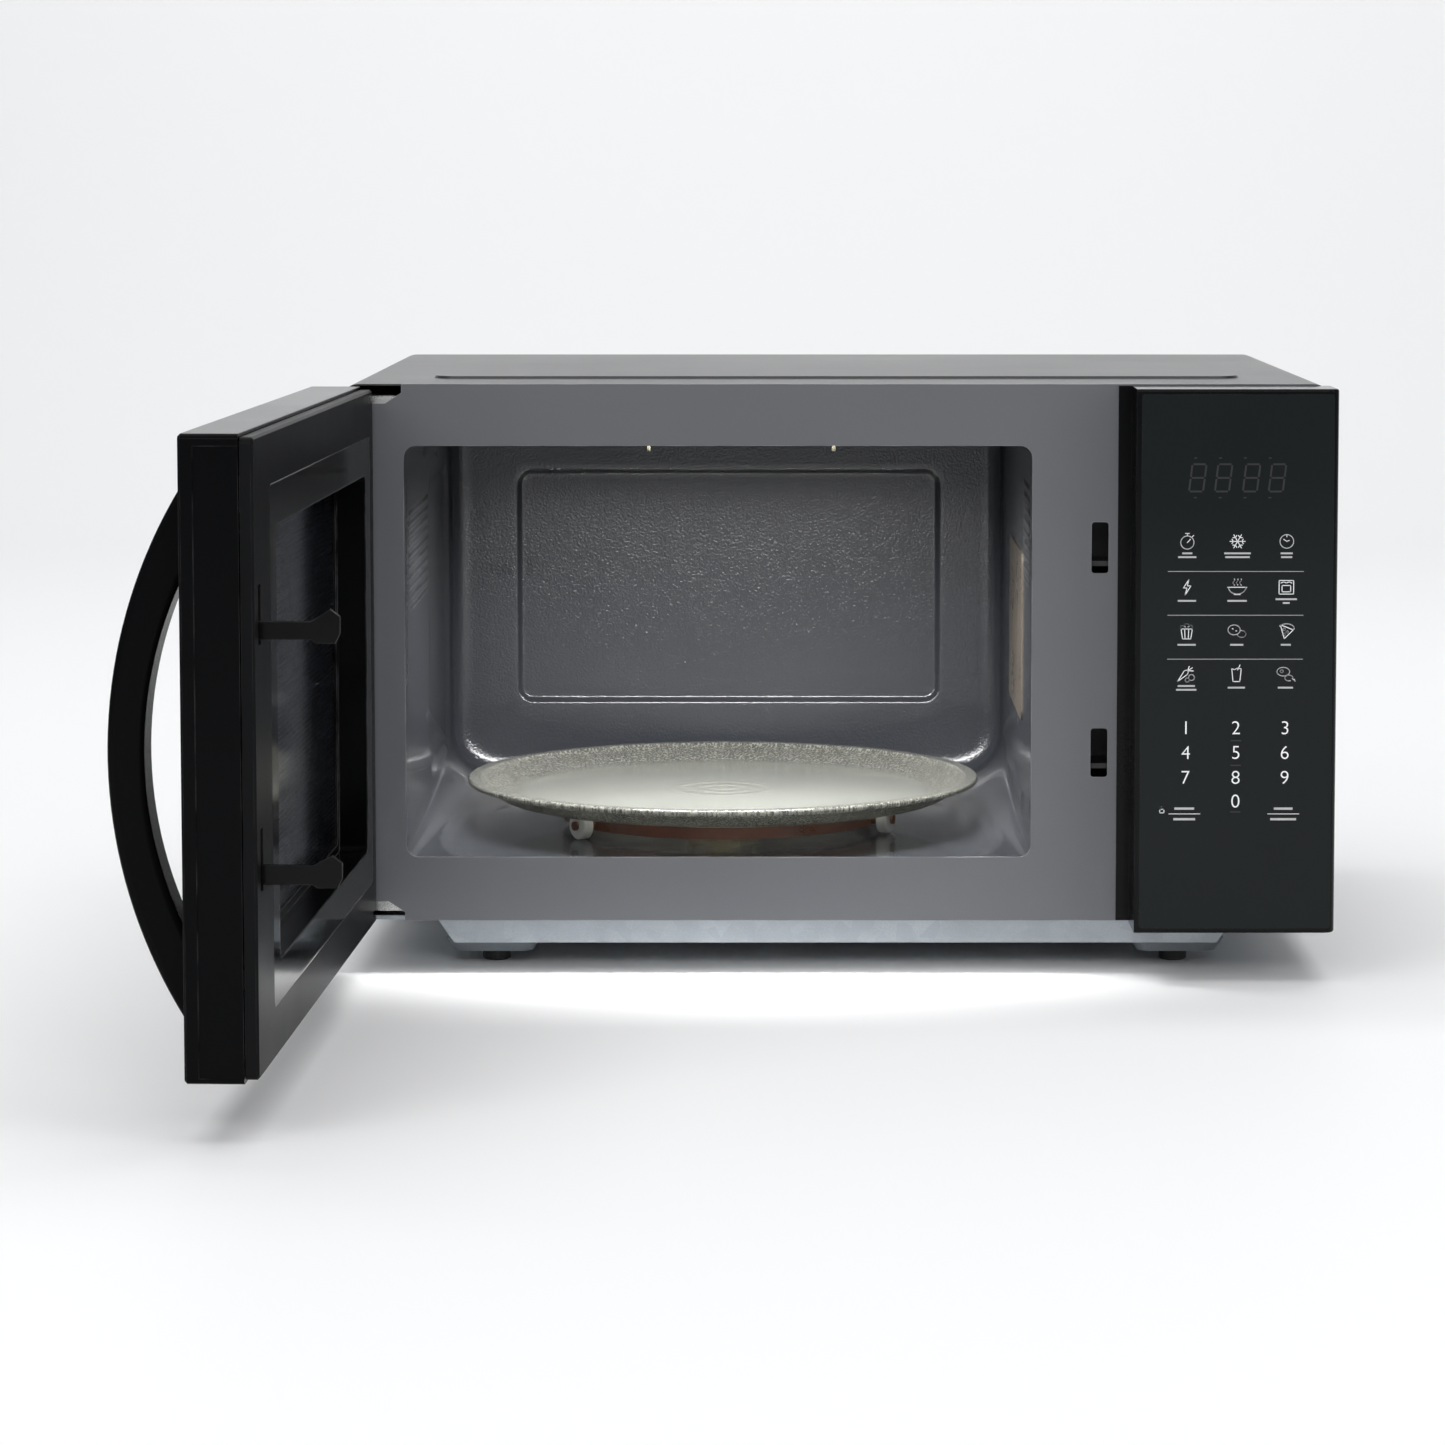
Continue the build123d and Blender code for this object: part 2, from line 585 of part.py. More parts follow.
with BuildPart() as transformer_core:
    block(CORE_X0, CORE_X1, CORE_Y0, CORE_Y1, PAN_FLOOR_Z, PAN_FLOOR_Z + CORE_TALL)
    for window_x in (CORE_X0 + LIMB, CORE_X1 - LIMB - WINDOW_WIDE):
        block(
            window_x, window_x + WINDOW_WIDE, CORE_Y0 - 1, CORE_Y1 + 1,
            PAN_FLOOR_Z + LIMB, PAN_FLOOR_Z + CORE_TALL - LIMB, mode=Mode.SUBTRACT,
        )
transformer_core.part.label = "transformer_core"
export_step(transformer_core.part, "parts/transformer_core.step")

LIMB_X0 = CORE_X0 + LIMB + WINDOW_WIDE
LIMB_X1 = CORE_X1 - LIMB - WINDOW_WIDE
with BuildPart() as transformer_windings:
    for coil_low, coil_tall in ((1.0, 15.0), (19.0, 20.0)):
        coil_z = PAN_FLOOR_Z + LIMB + coil_low
        with BuildSketch(flat(coil_z)):
            span(CORE_X0 + LIMB + 1, CORE_X1 - LIMB - 1, CORE_Y0 - 13, CORE_Y1 + 13, 9)
            span(LIMB_X0 - 0.5, LIMB_X1 + 0.5, CORE_Y0 - 0.5, CORE_Y1 + 0.5, mode=Mode.SUBTRACT)
        extrude(amount=coil_tall)
transformer_windings.part.label = "transformer_windings"
export_step(transformer_windings.part, "parts/transformer_windings.step")

CAN_X = 152.0
CAN_Z = PAN_FLOOR_Z + 20.0
CAN_Y0 = 30.0
CAN_LONG = 80.0
with BuildPart() as capacitor:
    with BuildSketch(upright(CAN_Y0)):
        with Locations((CAN_X, CAN_Z)):
            SlotOverall(54, 34)
    extrude(amount=-CAN_LONG)
    for blade_x in (CAN_X - 11, CAN_X + 11):
        block(blade_x - 3.2, blade_x + 3.2, CAN_Y0 - 9, CAN_Y0, CAN_Z - 0.4, CAN_Z + 0.4)
capacitor.part.label = "capacitor"
export_step(capacitor.part, "parts/capacitor.step")

with BuildPart() as capacitor_clamp:
    with BuildSketch(upright(CAN_Y0 + 32)):
        with Locations((CAN_X, CAN_Z)):
            SlotOverall(56.2, 36.2)
            SlotOverall(54.2, 34.2, mode=Mode.SUBTRACT)
        span(CAN_X - 28, CAN_X - 24, PAN_FLOOR_Z, CAN_Z - 5)
        with Locations((CAN_X, CAN_Z)):
            SlotOverall(54.2, 34.2, mode=Mode.SUBTRACT)
        span(CAN_X - 42, CAN_X - 24, PAN_FLOOR_Z, PAN_FLOOR_Z + 1)
    extrude(amount=-16)
capacitor_clamp.part.label = "capacitor_clamp"
export_step(capacitor_clamp.part, "parts/capacitor_clamp.step")

with BuildPart() as high_voltage_diode:
    rod(upright(CAN_Y0 - 20), CAN_X + 34, PAN_FLOOR_Z + 3.5, 3.2, -22)
    rod(upright(CAN_Y0 - 30), CAN_X + 34, PAN_FLOOR_Z + 3.5, 0.6, -42)
high_voltage_diode.part.label = "high_voltage_diode"
export_step(high_voltage_diode.part, "parts/high_voltage_diode.step")

# ---------------------------------------------------------------- cooling fan
FAN_FRONT_Y = 146.0
FAN_BACK_Y = REAR_PANEL_Y
FAN_HALF = 52.0
BLADE_COUNT = 6
BLADE_Y = FAN_FRONT_Y + 11.0
FAN_SHAFT_R = 2.5

with BuildPart() as fan_duct:
    block(FAN_X - FAN_HALF, FAN_X + FAN_HALF, FAN_FRONT_Y, FAN_BACK_Y, FAN_Z - FAN_HALF, FAN_Z + FAN_HALF)
    rod(upright(FAN_FRONT_Y + 2), FAN_X, FAN_Z, FAN_R, -30, mode=Mode.SUBTRACT)
    with BuildSketch(upright(FAN_FRONT_Y)):
        with Locations((FAN_X, FAN_Z)):
            Circle(FAN_R)
            Rectangle(2.2 * FAN_R, 9, mode=Mode.SUBTRACT)
            Rectangle(9, 2.2 * FAN_R, mode=Mode.SUBTRACT)
            Circle(20, mode=Mode.SUBTRACT)
    extrude(amount=-2, mode=Mode.SUBTRACT)
    rod(upright(FAN_FRONT_Y - 1), FAN_X, FAN_Z, 6, -5, mode=Mode.SUBTRACT)
fan_duct.part.label = "fan_duct"
export_step(fan_duct.part, "parts/fan_duct.step")

with BuildPart() as fan_motor:
    block(FAN_X - 30, FAN_X + 30, FAN_FRONT_Y - 18, FAN_FRONT_Y - 6, FAN_Z - 22, FAN_Z + 22)
    block(FAN_X - 14, FAN_X + 14, FAN_FRONT_Y - 26, FAN_FRONT_Y - 18, FAN_Z - 14, FAN_Z + 14)
    rod(upright(FAN_FRONT_Y - 6), FAN_X, FAN_Z, 14, -6)
    rod(upright(FAN_FRONT_Y - 20), FAN_X, FAN_Z, FAN_SHAFT_R + RUNNING_FIT, -30, mode=Mode.SUBTRACT)
fan_motor.part.label = "fan_motor"
export_step(fan_motor.part, "parts/fan_motor.step")

with BuildPart() as fan_blade:
    rod(upright(BLADE_Y - 7), FAN_X, FAN_Z, 12, -14)
    rod(upright(FAN_FRONT_Y - 19), FAN_X, FAN_Z, FAN_SHAFT_R, -(BLADE_Y - FAN_FRONT_Y + 19))
    for index in range(BLADE_COUNT):
        turn = 2 * pi * index / BLADE_COUNT
        root = Plane(origin=(FAN_X, BLADE_Y, FAN_Z), x_dir=(cos(turn), 0, sin(turn)), z_dir=(0, 1, 0))
        with Locations(root.location * Pos(26, 0, 0) * Rot(35, 0, 0)):
            Box(34, 16, 1.4)
fan_blade.part.label = "fan_blade"
export_step(fan_blade.part, "parts/fan_blade.step")

# ---------------------------------------------------------------- lamp, thermostats, filter board and heater
with BuildPart() as lamp_holder:
    block(CAV_WALL_X, CAV_WALL_X + 1, LAMP_Y - 14, LAMP_Y + 14, LAMP_Z - 32, LAMP_Z - 20)
    block(CAV_WALL_X, CAV_WALL_X + 36, LAMP_Y - 14, LAMP_Y + 14, LAMP_Z - 21, LAMP_Z - 20)
    block(CAV_WALL_X + 30, CAV_WALL_X + 36, LAMP_Y - 12, LAMP_Y + 12, LAMP_Z - 20, LAMP_Z + 12)
    rod(side(CAV_WALL_X + 21), LAMP_Y, LAMP_Z, 8.5, 9)
    rod(side(CAV_WALL_X + 20), LAMP_Y, LAMP_Z, 6.0, 9, mode=Mode.SUBTRACT)
lamp_holder.part.label = "lamp_holder"
export_step(lamp_holder.part, "parts/lamp_holder.step")

with BuildPart() as cavity_lamp:
    rod(side(CAV_WALL_X + 6), LAMP_Y, LAMP_Z, 8, 15)
    fillet(edges().filter_by(GeomType.CIRCLE).sort_by(Axis.X)[0], 7)
    rod(side(CAV_WALL_X + 21), LAMP_Y, LAMP_Z, 5.9, 7)
cavity_lamp.part.label = "cavity_lamp"
export_step(cavity_lamp.part, "parts/cavity_lamp.step")

with BuildPart() as thermostats:
    rod(side(CAV_WALL_X), 86, 96, 9, 5)
    rod(side(CAV_WALL_X + 5), 86, 96, 7, 4)
    rod(flat(MAGNET_Z + YOKE_TALL), GUIDE_X1 + 38, MAGNET_Y, 9, 5)
    rod(flat(MAGNET_Z + YOKE_TALL + 5), GUIDE_X1 + 38, MAGNET_Y, 7, 4)
thermostats.part.label = "thermostats"
export_step(thermostats.part, "parts/thermostats.step")

BOARD_X0 = -150.0
BOARD_X1 = -80.0
BOARD_Y0 = 82.0
BOARD_Y1 = 132.0
BOARD_Z = CAV_ROOF + SHEET + 4.0
with BuildPart() as filter_board:
    block(BOARD_X0, BOARD_X1, BOARD_Y0, BOARD_Y1, BOARD_Z, BOARD_Z + 1.6)
    for leg_x in (BOARD_X0 + 4, BOARD_X1 - 4):
        for leg_y in (BOARD_Y0 + 4, BOARD_Y1 - 4):
            rod(flat(BOARD_Z), leg_x, leg_y, 2.5, -4)
    with Locations((BOARD_X0 + 18, BOARD_Y0 + 26, BOARD_Z + 0.6)):
        Torus(9, 4.5, align=(Align.CENTER, Align.CENTER, Align.MIN))
    block(BOARD_X1 - 30, BOARD_X1 - 6, BOARD_Y0 + 24, BOARD_Y0 + 34, BOARD_Z + 1.6, BOARD_Z + 14)
    for clip_x in (BOARD_X1 - 30, BOARD_X1 - 9):
        block(clip_x, clip_x + 3, BOARD_Y0 + 5, BOARD_Y0 + 12, BOARD_Z + 1.6, BOARD_Z + 4.4)
filter_board.part.label = "filter_board"
export_step(filter_board.part, "parts/filter_board.step")

with BuildPart() as fuse:
    rod(side(BOARD_X1 - 31), BOARD_Y0 + 8.5, BOARD_Z + 7.5, 3.1, 26)
fuse.part.label = "fuse"
export_step(fuse.part, "parts/fuse.step")

with BuildPart() as grill_heater:
    with BuildLine() as heater_path:
        FilletPolyline(
            (HEATER_END, HEATER_YS[0], HEATER_Z),
            (HEATER_LEFT, HEATER_YS[0], HEATER_Z),
            (HEATER_LEFT, HEATER_YS[1], HEATER_Z),
            (HEATER_END, HEATER_YS[1], HEATER_Z),
            radius=16,
        )
    with BuildSketch(Plane(origin=(HEATER_END, HEATER_YS[0], HEATER_Z), z_dir=(-1, 0, 0))):
        Circle(HEATER_R)
    sweep(path=heater_path.line)
grill_heater.part.label = "grill_heater"
export_step(grill_heater.part, "parts/grill_heater.step")

# Wire bails that hang the heater from the grill recess; each dips a little below the cavity's roof.
BAIL_SPOTS = [(x, y) for x in (-95.0, 0.0) for y in HEATER_YS]
BAIL_WIRE_R = 0.9
BAIL_R = HEATER_R + 1.0 + BAIL_WIRE_R
with BuildPart() as heater_clips:
    for bail_x, bail_y in BAIL_SPOTS:
        with BuildSketch(side(bail_x - BAIL_WIRE_R)):
            with Locations((bail_y, HEATER_Z)):
                SlotCenterToCenter(20, 2 * (BAIL_R + BAIL_WIRE_R), rotation=90)
                SlotCenterToCenter(20, 2 * (BAIL_R - BAIL_WIRE_R), rotation=90, mode=Mode.SUBTRACT)
            recess_roof = CAV_ROOF + GRILL_DEEP
            span(bail_y - 12, bail_y + 12, recess_roof, recess_roof + 20, mode=Mode.SUBTRACT)
        extrude(amount=2 * BAIL_WIRE_R)
heater_clips.part.label = "heater_clips"
export_step(heater_clips.part, "parts/heater_clips.step")

# ---------------------------------------------------------------- turntable drive
MOTOR_TOP_Z = 46.0
MOTOR_TALL = 17.0
SHAFT_R = 3.0
HUB_R = 9.0
PRONG_R = 20.0
PRONG_ANGLES = (30.0, 150.0, 270.0)
LUG_ANGLES = (90.0, 210.0, 330.0)
WHEEL_Z = DISH_Z + 0.3 + WHEEL_R
RING_IN_R = 78.0
RING_OUT_R = 85.0


def radial(angle, radius, z):
    """Plane facing outwards from the turntable's axis; its sketches read (along the ring, up)."""
    out = (cos(radians(angle)), sin(radians(angle)), 0)
    return Plane(
        origin=(TABLE_X + out[0] * radius, TABLE_Y + out[1] * radius, z),
        x_dir=(-out[1], out[0], 0),
        z_dir=out,
    )


def arms(angles, inner, outer, wide, low, high):
    """Radial bars of the given width between two radii and two heights."""
    for angle in angles:
        with BuildSketch(radial(angle, inner, 0)) as bar:
            span(-wide / 2, wide / 2, low, high)
        extrude(bar.sketch, amount=outer - inner)


with BuildPart() as turntable_motor:
    rod(flat(MOTOR_TOP_Z - MOTOR_TALL), TABLE_X, TABLE_Y, 25, MOTOR_TALL)
    block(TABLE_X - 34, TABLE_X + 34, TABLE_Y - 7, TABLE_Y + 7, MOTOR_TOP_Z - 1.2, MOTOR_TOP_Z)
    motor_low_z = MOTOR_TOP_Z - MOTOR_TALL
    block(TABLE_X - 12, TABLE_X + 12, TABLE_Y + 22, TABLE_Y + 34, motor_low_z + 2, MOTOR_TOP_Z - 4)
    rod(flat(MOTOR_TOP_Z - MOTOR_TALL + 3), TABLE_X, TABLE_Y, SHAFT_R + RUNNING_FIT, 30, mode=Mode.SUBTRACT)
turntable_motor.part.label = "turntable_motor"
export_step(turntable_motor.part, "parts/turntable_motor.step")

with BuildPart() as drive_coupler:
    rod(flat(MOTOR_TOP_Z - MOTOR_TALL + 4), TABLE_X, TABLE_Y, SHAFT_R, MOTOR_TALL - 3)
    rod(flat(MOTOR_TOP_Z + 0.5), TABLE_X, TABLE_Y, 4.5, 7)
    rod(flat(MOTOR_TOP_Z + 7), TABLE_X, TABLE_Y, HUB_R, 9.5)
    arms(PRONG_ANGLES, HUB_R - 1, PRONG_R, 6.0, MOTOR_TOP_Z + 10, MOTOR_TOP_Z + 16.5)
drive_coupler.part.label = "drive_coupler"
export_step(drive_coupler.part, "parts/drive_coupler.step")

# Glass tray: thin flat floor, coved side, level rim, and three lugs below that sit between the prongs.
TRAY_GLASS = 4.0
RIM_TOP_Z = 76.5
with BuildPart() as glass_tray:
    with BuildSketch(Plane(origin=(TABLE_X, TABLE_Y, 0), x_dir=(1, 0, 0), z_dir=(0, -1, 0))):
        with BuildLine():
            Polyline((0, TRAY_Z + TRAY_GLASS), (0, TRAY_Z), (112, TRAY_Z))
            Spline((112, TRAY_Z), (121, TRAY_Z + 3.2), (129, TRAY_Z + 7.6), tangents=((1, 0), (1, 0.3)))
            Line((129, TRAY_Z + 7.6), (TRAY_R - 1.2, TRAY_Z + 8.4))
            RadiusArc((TRAY_R - 1.2, TRAY_Z + 8.4), (TRAY_R - 1.2, RIM_TOP_Z), -1.7)
            Line((TRAY_R - 1.2, RIM_TOP_Z), (128.5, RIM_TOP_Z))
            Spline(
                (128.5, RIM_TOP_Z), (119, TRAY_Z + 7.0), (110, TRAY_Z + TRAY_GLASS),
                tangents=((-0.6, -1), (-1, 0)),
            )
            Line((110, TRAY_Z + TRAY_GLASS), (0, TRAY_Z + TRAY_GLASS))
        make_face()
    revolve(axis=Axis((TABLE_X, TABLE_Y, 0), (0, 0, 1)))
    arms(LUG_ANGLES, 13.0, 20.0, 7.0, TRAY_Z - 4.5, TRAY_Z + 0.5)
glass_tray.part.label = "glass_tray"
export_step(glass_tray.part, "parts/glass_tray.step")

# Roller ring with three outward axles, each with a shoulder and a retaining head, and its loose wheels.
with BuildPart() as roller_ring:
    rod(flat(WHEEL_Z - 3), TABLE_X, TABLE_Y, RING_OUT_R, 6)
    rod(flat(WHEEL_Z - 4), TABLE_X, TABLE_Y, RING_IN_R, 8, mode=Mode.SUBTRACT)
    for wheel_angle in WHEEL_ANGLES:
        rod(radial(wheel_angle, RING_OUT_R - 1, WHEEL_Z), 0, 0, 3.2, 4.7)
        rod(radial(wheel_angle, RING_OUT_R - 1, WHEEL_Z), 0, 0, AXLE_R, 12.7)
        rod(radial(wheel_angle, RING_OUT_R + 10.3, WHEEL_Z), 0, 0, 2.4, 1.4)
roller_ring.part.label = "roller_ring"
export_step(roller_ring.part, "parts/roller_ring.step")

for index, wheel_angle in enumerate(WHEEL_ANGLES, start=1):
    with BuildPart() as roller_wheel:
        rod(radial(wheel_angle, WHEEL_TRACK_R - 3, WHEEL_Z), 0, 0, WHEEL_R, 6)
        chamfer(edges().filter_by(GeomType.CIRCLE), 0.6)
        bore_plane = radial(wheel_angle, WHEEL_TRACK_R - 4, WHEEL_Z)
        rod(bore_plane, 0, 0, AXLE_R + RUNNING_FIT, 8, mode=Mode.SUBTRACT)
    roller_wheel.part.label = f"roller_wheel_{index}"
    export_step(roller_wheel.part, f"parts/roller_wheel_{index}.step")

# ---------------------------------------------------------------- hinge brackets
ARM_HALF = 5.0
PLATE_RIGHT = -214.0
PLATE_BACK_Y = FRONT_Y + 22.0


def hinge_bracket(arm_z, tab_low, pin_low):
    """Steel bracket: level arm through the frame's notch, tab behind the frame, and the hinge pin."""
    with BuildSketch(flat(arm_z)) as outline:
        span(HINGE_X - ARM_HALF, HINGE_X + ARM_HALF, HINGE_Y, PLATE_BACK_Y)
        span(HINGE_X - ARM_HALF, PLATE_RIGHT, FRAME_BACK_Y + 0.3, PLATE_BACK_Y)
        with Locations((HINGE_X, HINGE_Y)):
            Circle(ARM_HALF)
    extrude(outline.sketch, amount=ARM_THICK)
    block(HINGE_X + 1, PLATE_RIGHT - 1, FRAME_BACK_Y, FRAME_BACK_Y + ARM_THICK, tab_low, tab_low + 24)
    rod(flat(pin_low), HINGE_X, HINGE_Y, PIN_R, PIN_LONG)


with BuildPart() as upper_hinge_bracket:
    hinge_bracket(UPPER_ARM_Z, UPPER_ARM_Z - 23, UPPER_ARM_Z - PIN_LONG + 1)
upper_hinge_bracket.part.label = "upper_hinge_bracket"
export_step(upper_hinge_bracket.part, "parts/upper_hinge_bracket.step")

with BuildPart() as lower_hinge_bracket:
    hinge_bracket(LOWER_ARM_Z, LOWER_ARM_Z + 1, LOWER_ARM_Z + 1)
lower_hinge_bracket.part.label = "lower_hinge_bracket"
export_step(lower_hinge_bracket.part, "parts/lower_hinge_bracket.step")

# ---------------------------------------------------------------- latch bracket and interlock switches
BRACKET_LEFT = 110.0
BRACKET_RIGHT = 143.0
BRACKET_Z0 = 84.0
BRACKET_Z1 = 246.0
BRACKET_BACK_Y = FRONT_Y + 37.0
SHELF_ZS = (203.4, 103.0)

with BuildPart() as latch_bracket:
    block(BRACKET_LEFT, BRACKET_RIGHT, BRACKET_BACK_Y - 2.5, BRACKET_BACK_Y, BRACKET_Z0, BRACKET_Z1)
    block(BRACKET_LEFT, BRACKET_LEFT + 2.5, FRAME_BACK_Y, BRACKET_BACK_Y, BRACKET_Z0, BRACKET_Z1)
    block(BRACKET_RIGHT - 2.5, BRACKET_RIGHT, FRAME_BACK_Y, BRACKET_BACK_Y, BRACKET_Z0, BRACKET_Z1)
    for shelf_z in SHELF_ZS:
        block(
            SLOT_LEFT - 1.5, BRACKET_RIGHT, FRAME_BACK_Y + 4, BRACKET_BACK_Y,
            shelf_z - 2.5, shelf_z,
        )
latch_bracket.part.label = "latch_bracket"
export_step(latch_bracket.part, "parts/latch_bracket.step")

SWITCHES = (("upper", 206.0), ("monitor", 150.0), ("lower", 106.0))
SWITCH_X0 = BRACKET_LEFT + 2.5
SWITCH_X1 = SWITCH_X0 + 10.0
SWITCH_Y0 = FRONT_Y + 5.0
SWITCH_Y1 = FRONT_Y + 33.0
SWITCH_TALL = 16.0
PLUNGER_R = 1.5
for switch_name, switch_z in SWITCHES:
    switch_x = (SWITCH_X0 + SWITCH_X1) / 2
    with BuildPart() as interlock_switch:
        block(SWITCH_X0, SWITCH_X1, SWITCH_Y0, SWITCH_Y1, switch_z, switch_z + SWITCH_TALL)
        for blade_y in (SWITCH_Y0 + 4, SWITCH_Y0 + 14, SWITCH_Y1 - 4):
            block(switch_x - 0.4, switch_x + 0.4, blade_y - 2.4, blade_y + 2.4, switch_z - 7, switch_z)
        rod(
            flat(switch_z + SWITCH_TALL - 8), switch_x, SWITCH_Y0 + 9, PLUNGER_R + RUNNING_FIT, 9,
            mode=Mode.SUBTRACT,
        )
    interlock_switch.part.label = f"{switch_name}_switch"
    export_step(interlock_switch.part, f"parts/{switch_name}_switch.step")
    with BuildPart() as switch_plunger:
        rod(flat(switch_z + SWITCH_TALL - 5), switch_x, SWITCH_Y0 + 9, PLUNGER_R, 8)
    switch_plunger.part.label = f"{switch_name}_switch_plunger"
    export_step(switch_plunger.part, f"parts/{switch_name}_switch_plunger.step")

# ---------------------------------------------------------------- control panel
PANEL_WALL = 2.2
PANEL_R = 5.0
RIM = 2.5
STRIP_LEFT = 138.5
DISPLAY_X0 = 170.0
DISPLAY_X1 = 224.0
DISPLAY_Z0 = 234.0
DISPLAY_Z1 = 255.0
FACE_THICK = 2.0
FACE_BACK_Y = PANEL_FRONT_Y + FACE_THICK
BOARD_Y = PANEL_FRONT_Y + 15.0

with BuildPart() as control_panel_frame:
    with BuildSketch(flat(FRONT_LOW_Z)):
        span(PANEL_LEFT, SIDE_X, PANEL_FRONT_Y, FRONT_Y)
        fillet(vertices().sort_by(Axis.Y)[:2].sort_by(Axis.X)[-1], PANEL_R)
    extrude(amount=FRONT_TALL)
    fillet(edges().filter_by(Axis.X).group_by(Axis.Y)[0], 1.2)
    block(
        PANEL_LEFT + PANEL_WALL, SIDE_X - PANEL_WALL, FACE_BACK_Y + 2, FRONT_Y + 1,
        FRONT_LOW_Z + PANEL_WALL, FRONT_TOP_Z - PANEL_WALL, mode=Mode.SUBTRACT,
    )
    with BuildSketch(upright(PANEL_FRONT_Y - 1)):
        span(PANEL_LEFT + RIM, SIDE_X - RIM, FRONT_LOW_Z + RIM, FRONT_TOP_Z - RIM, 1.5)
    extrude(amount=-(FACE_THICK + 1), mode=Mode.SUBTRACT)
    with BuildSketch(upright(FACE_BACK_Y - 1)):
        span(DISPLAY_X0, DISPLAY_X1, DISPLAY_Z0, DISPLAY_Z1, 1)
    extrude(amount=-5, mode=Mode.SUBTRACT)
    block(STRIP_LEFT, PANEL_LEFT + 0.5, FRONT_Y - 1.2, FRONT_Y, FRONT_LOW_Z + 1, FRONT_TOP_Z)
control_panel_frame.part.label = "control_panel_frame"
export_step(control_panel_frame.part, "parts/control_panel_frame.step")

with BuildPart() as control_panel_face:
    with BuildSketch(upright(PANEL_FRONT_Y)):
        span(PANEL_LEFT + RIM, SIDE_X - RIM, FRONT_LOW_Z + RIM, FRONT_TOP_Z - RIM, 1.5)
    extrude(amount=-FACE_THICK)
control_panel_face.part.label = "control_panel_face"
export_step(control_panel_face.part, "parts/control_panel_face.step")

with BuildPart() as display_module:
    block(DISPLAY_X0 + 1, DISPLAY_X1 - 1, FACE_BACK_Y + 0.2, BOARD_Y, DISPLAY_Z0 + 1, DISPLAY_Z1 - 1)
display_module.part.label = "display_module"
export_step(display_module.part, "parts/display_module.step")

with BuildPart() as control_board:
    block(150.0, 238.0, BOARD_Y, BOARD_Y + 1.6, 48.0, 282.0)
    for relay_z in (70.0, 100.0, 130.0):
        block(160.0, 180.0, BOARD_Y + 1.6, BOARD_Y + 17, relay_z, relay_z + 16)
    rod(upright(BOARD_Y + 1.6), 215, 84, 8, -15)
    block(198.0, 224.0, BOARD_Y + 1.6, BOARD_Y + 4.5, 150.0, 176.0)
control_board.part.label = "control_board"
export_step(control_board.part, "parts/control_board.step")

# ---------------------------------------------------------------- door shell
DOOR_WALL = 2.5
GLASS_U0 = 20.0
GLASS_U1 = 326.0
GLASS_Z0 = 50.0
GLASS_Z1 = 264.0
GLASS_THICK = 3.5
HANDLE_U0 = 339.0
HANDLE_U1 = 361.0
HANDLE_SCREW_ZS = (68.0, 254.0)
HANDLE_SCREWS = [((HANDLE_U0 + HANDLE_U1) / 2, z) for z in HANDLE_SCREW_ZS]
ARM_GAP = 1.0
SLOT_U1 = 8.0
SLOT_V0 = -8.0


def hinge_slots():
    """Slots that let both hinge arms pass as the door swings."""
    for arm_z in (UPPER_ARM_Z, LOWER_ARM_Z):
        with BuildSketch(door_flat(arm_z - ARM_GAP)) as cut:
            span(DOOR_U0 - 1, SLOT_U1, SLOT_V0, DOOR_V1 + 1)
        extrude(cut.sketch, amount=ARM_THICK + 2 * ARM_GAP, mode=Mode.SUBTRACT)


EDGE_FIELD_DEEP = 0.6
EDGE_FIELD_V0 = -14.4
EDGE_FIELD_Z0 = 27.1
EDGE_FIELD_Z1 = 285.0

with BuildPart() as door_frame:
    with BuildSketch(door_face(SHELL_V1)):
        span(DOOR_U0, DOOR_U1, FRONT_LOW_Z, FRONT_TOP_Z, 2.5)
    extrude(amount=SHELL_V1 - DOOR_V0)
    chamfer(faces().sort_by(Axis((0, 0, 0), tuple(door_face(0).z_dir)))[-1].edges(), 1.0)
    with BuildSketch(door_face(SHELL_V1 + 1)):
        span(
            DOOR_U0 + DOOR_WALL, DOOR_U1 - DOOR_WALL,
            FRONT_LOW_Z + DOOR_WALL, FRONT_TOP_Z - DOOR_WALL, 1.0,
        )
    extrude(amount=SHELL_V1 + 1 - DOOR_V0 - DOOR_WALL, mode=Mode.SUBTRACT)
    with BuildSketch(door_face(DOOR_V0 + GLASS_THICK + 3)):
        span(GLASS_U0, GLASS_U1, GLASS_Z0, GLASS_Z1, 6)
    extrude(amount=GLASS_THICK + 4, mode=Mode.SUBTRACT)
    with BuildSketch(door_face(0)):
        with Locations(*HANDLE_SCREWS):
            Circle(SCREW_R + 0.2)
    extrude(amount=-DOOR_V0 + 1, mode=Mode.SUBTRACT)
    with BuildSketch(door_flat(SEAT_Z)):
        span(LATCH_U - 6, DOOR_U1 - DOOR_WALL, DOOR_V0 + DOOR_WALL, 3)
    extrude(amount=4)
    with BuildSketch(door_side(DOOR_U1 - EDGE_FIELD_DEEP)):
        span(EDGE_FIELD_V0, SHELL_V1 + 1, EDGE_FIELD_Z0, EDGE_FIELD_Z1)
    extrude(amount=EDGE_FIELD_DEEP + 1, mode=Mode.SUBTRACT)
    hinge_slots()
door_frame.part.label = "door_frame"
export_step(door_frame.part, "parts/door_frame.step")

with BuildPart() as door_front_glass:
    with BuildSketch(door_face(DOOR_V0 + GLASS_THICK)):
        span(GLASS_U0, GLASS_U1, GLASS_Z0, GLASS_Z1, 6)
    extrude(amount=GLASS_THICK)
door_front_glass.part.label = "door_front_glass"
export_step(door_front_glass.part, "parts/door_front_glass.step")

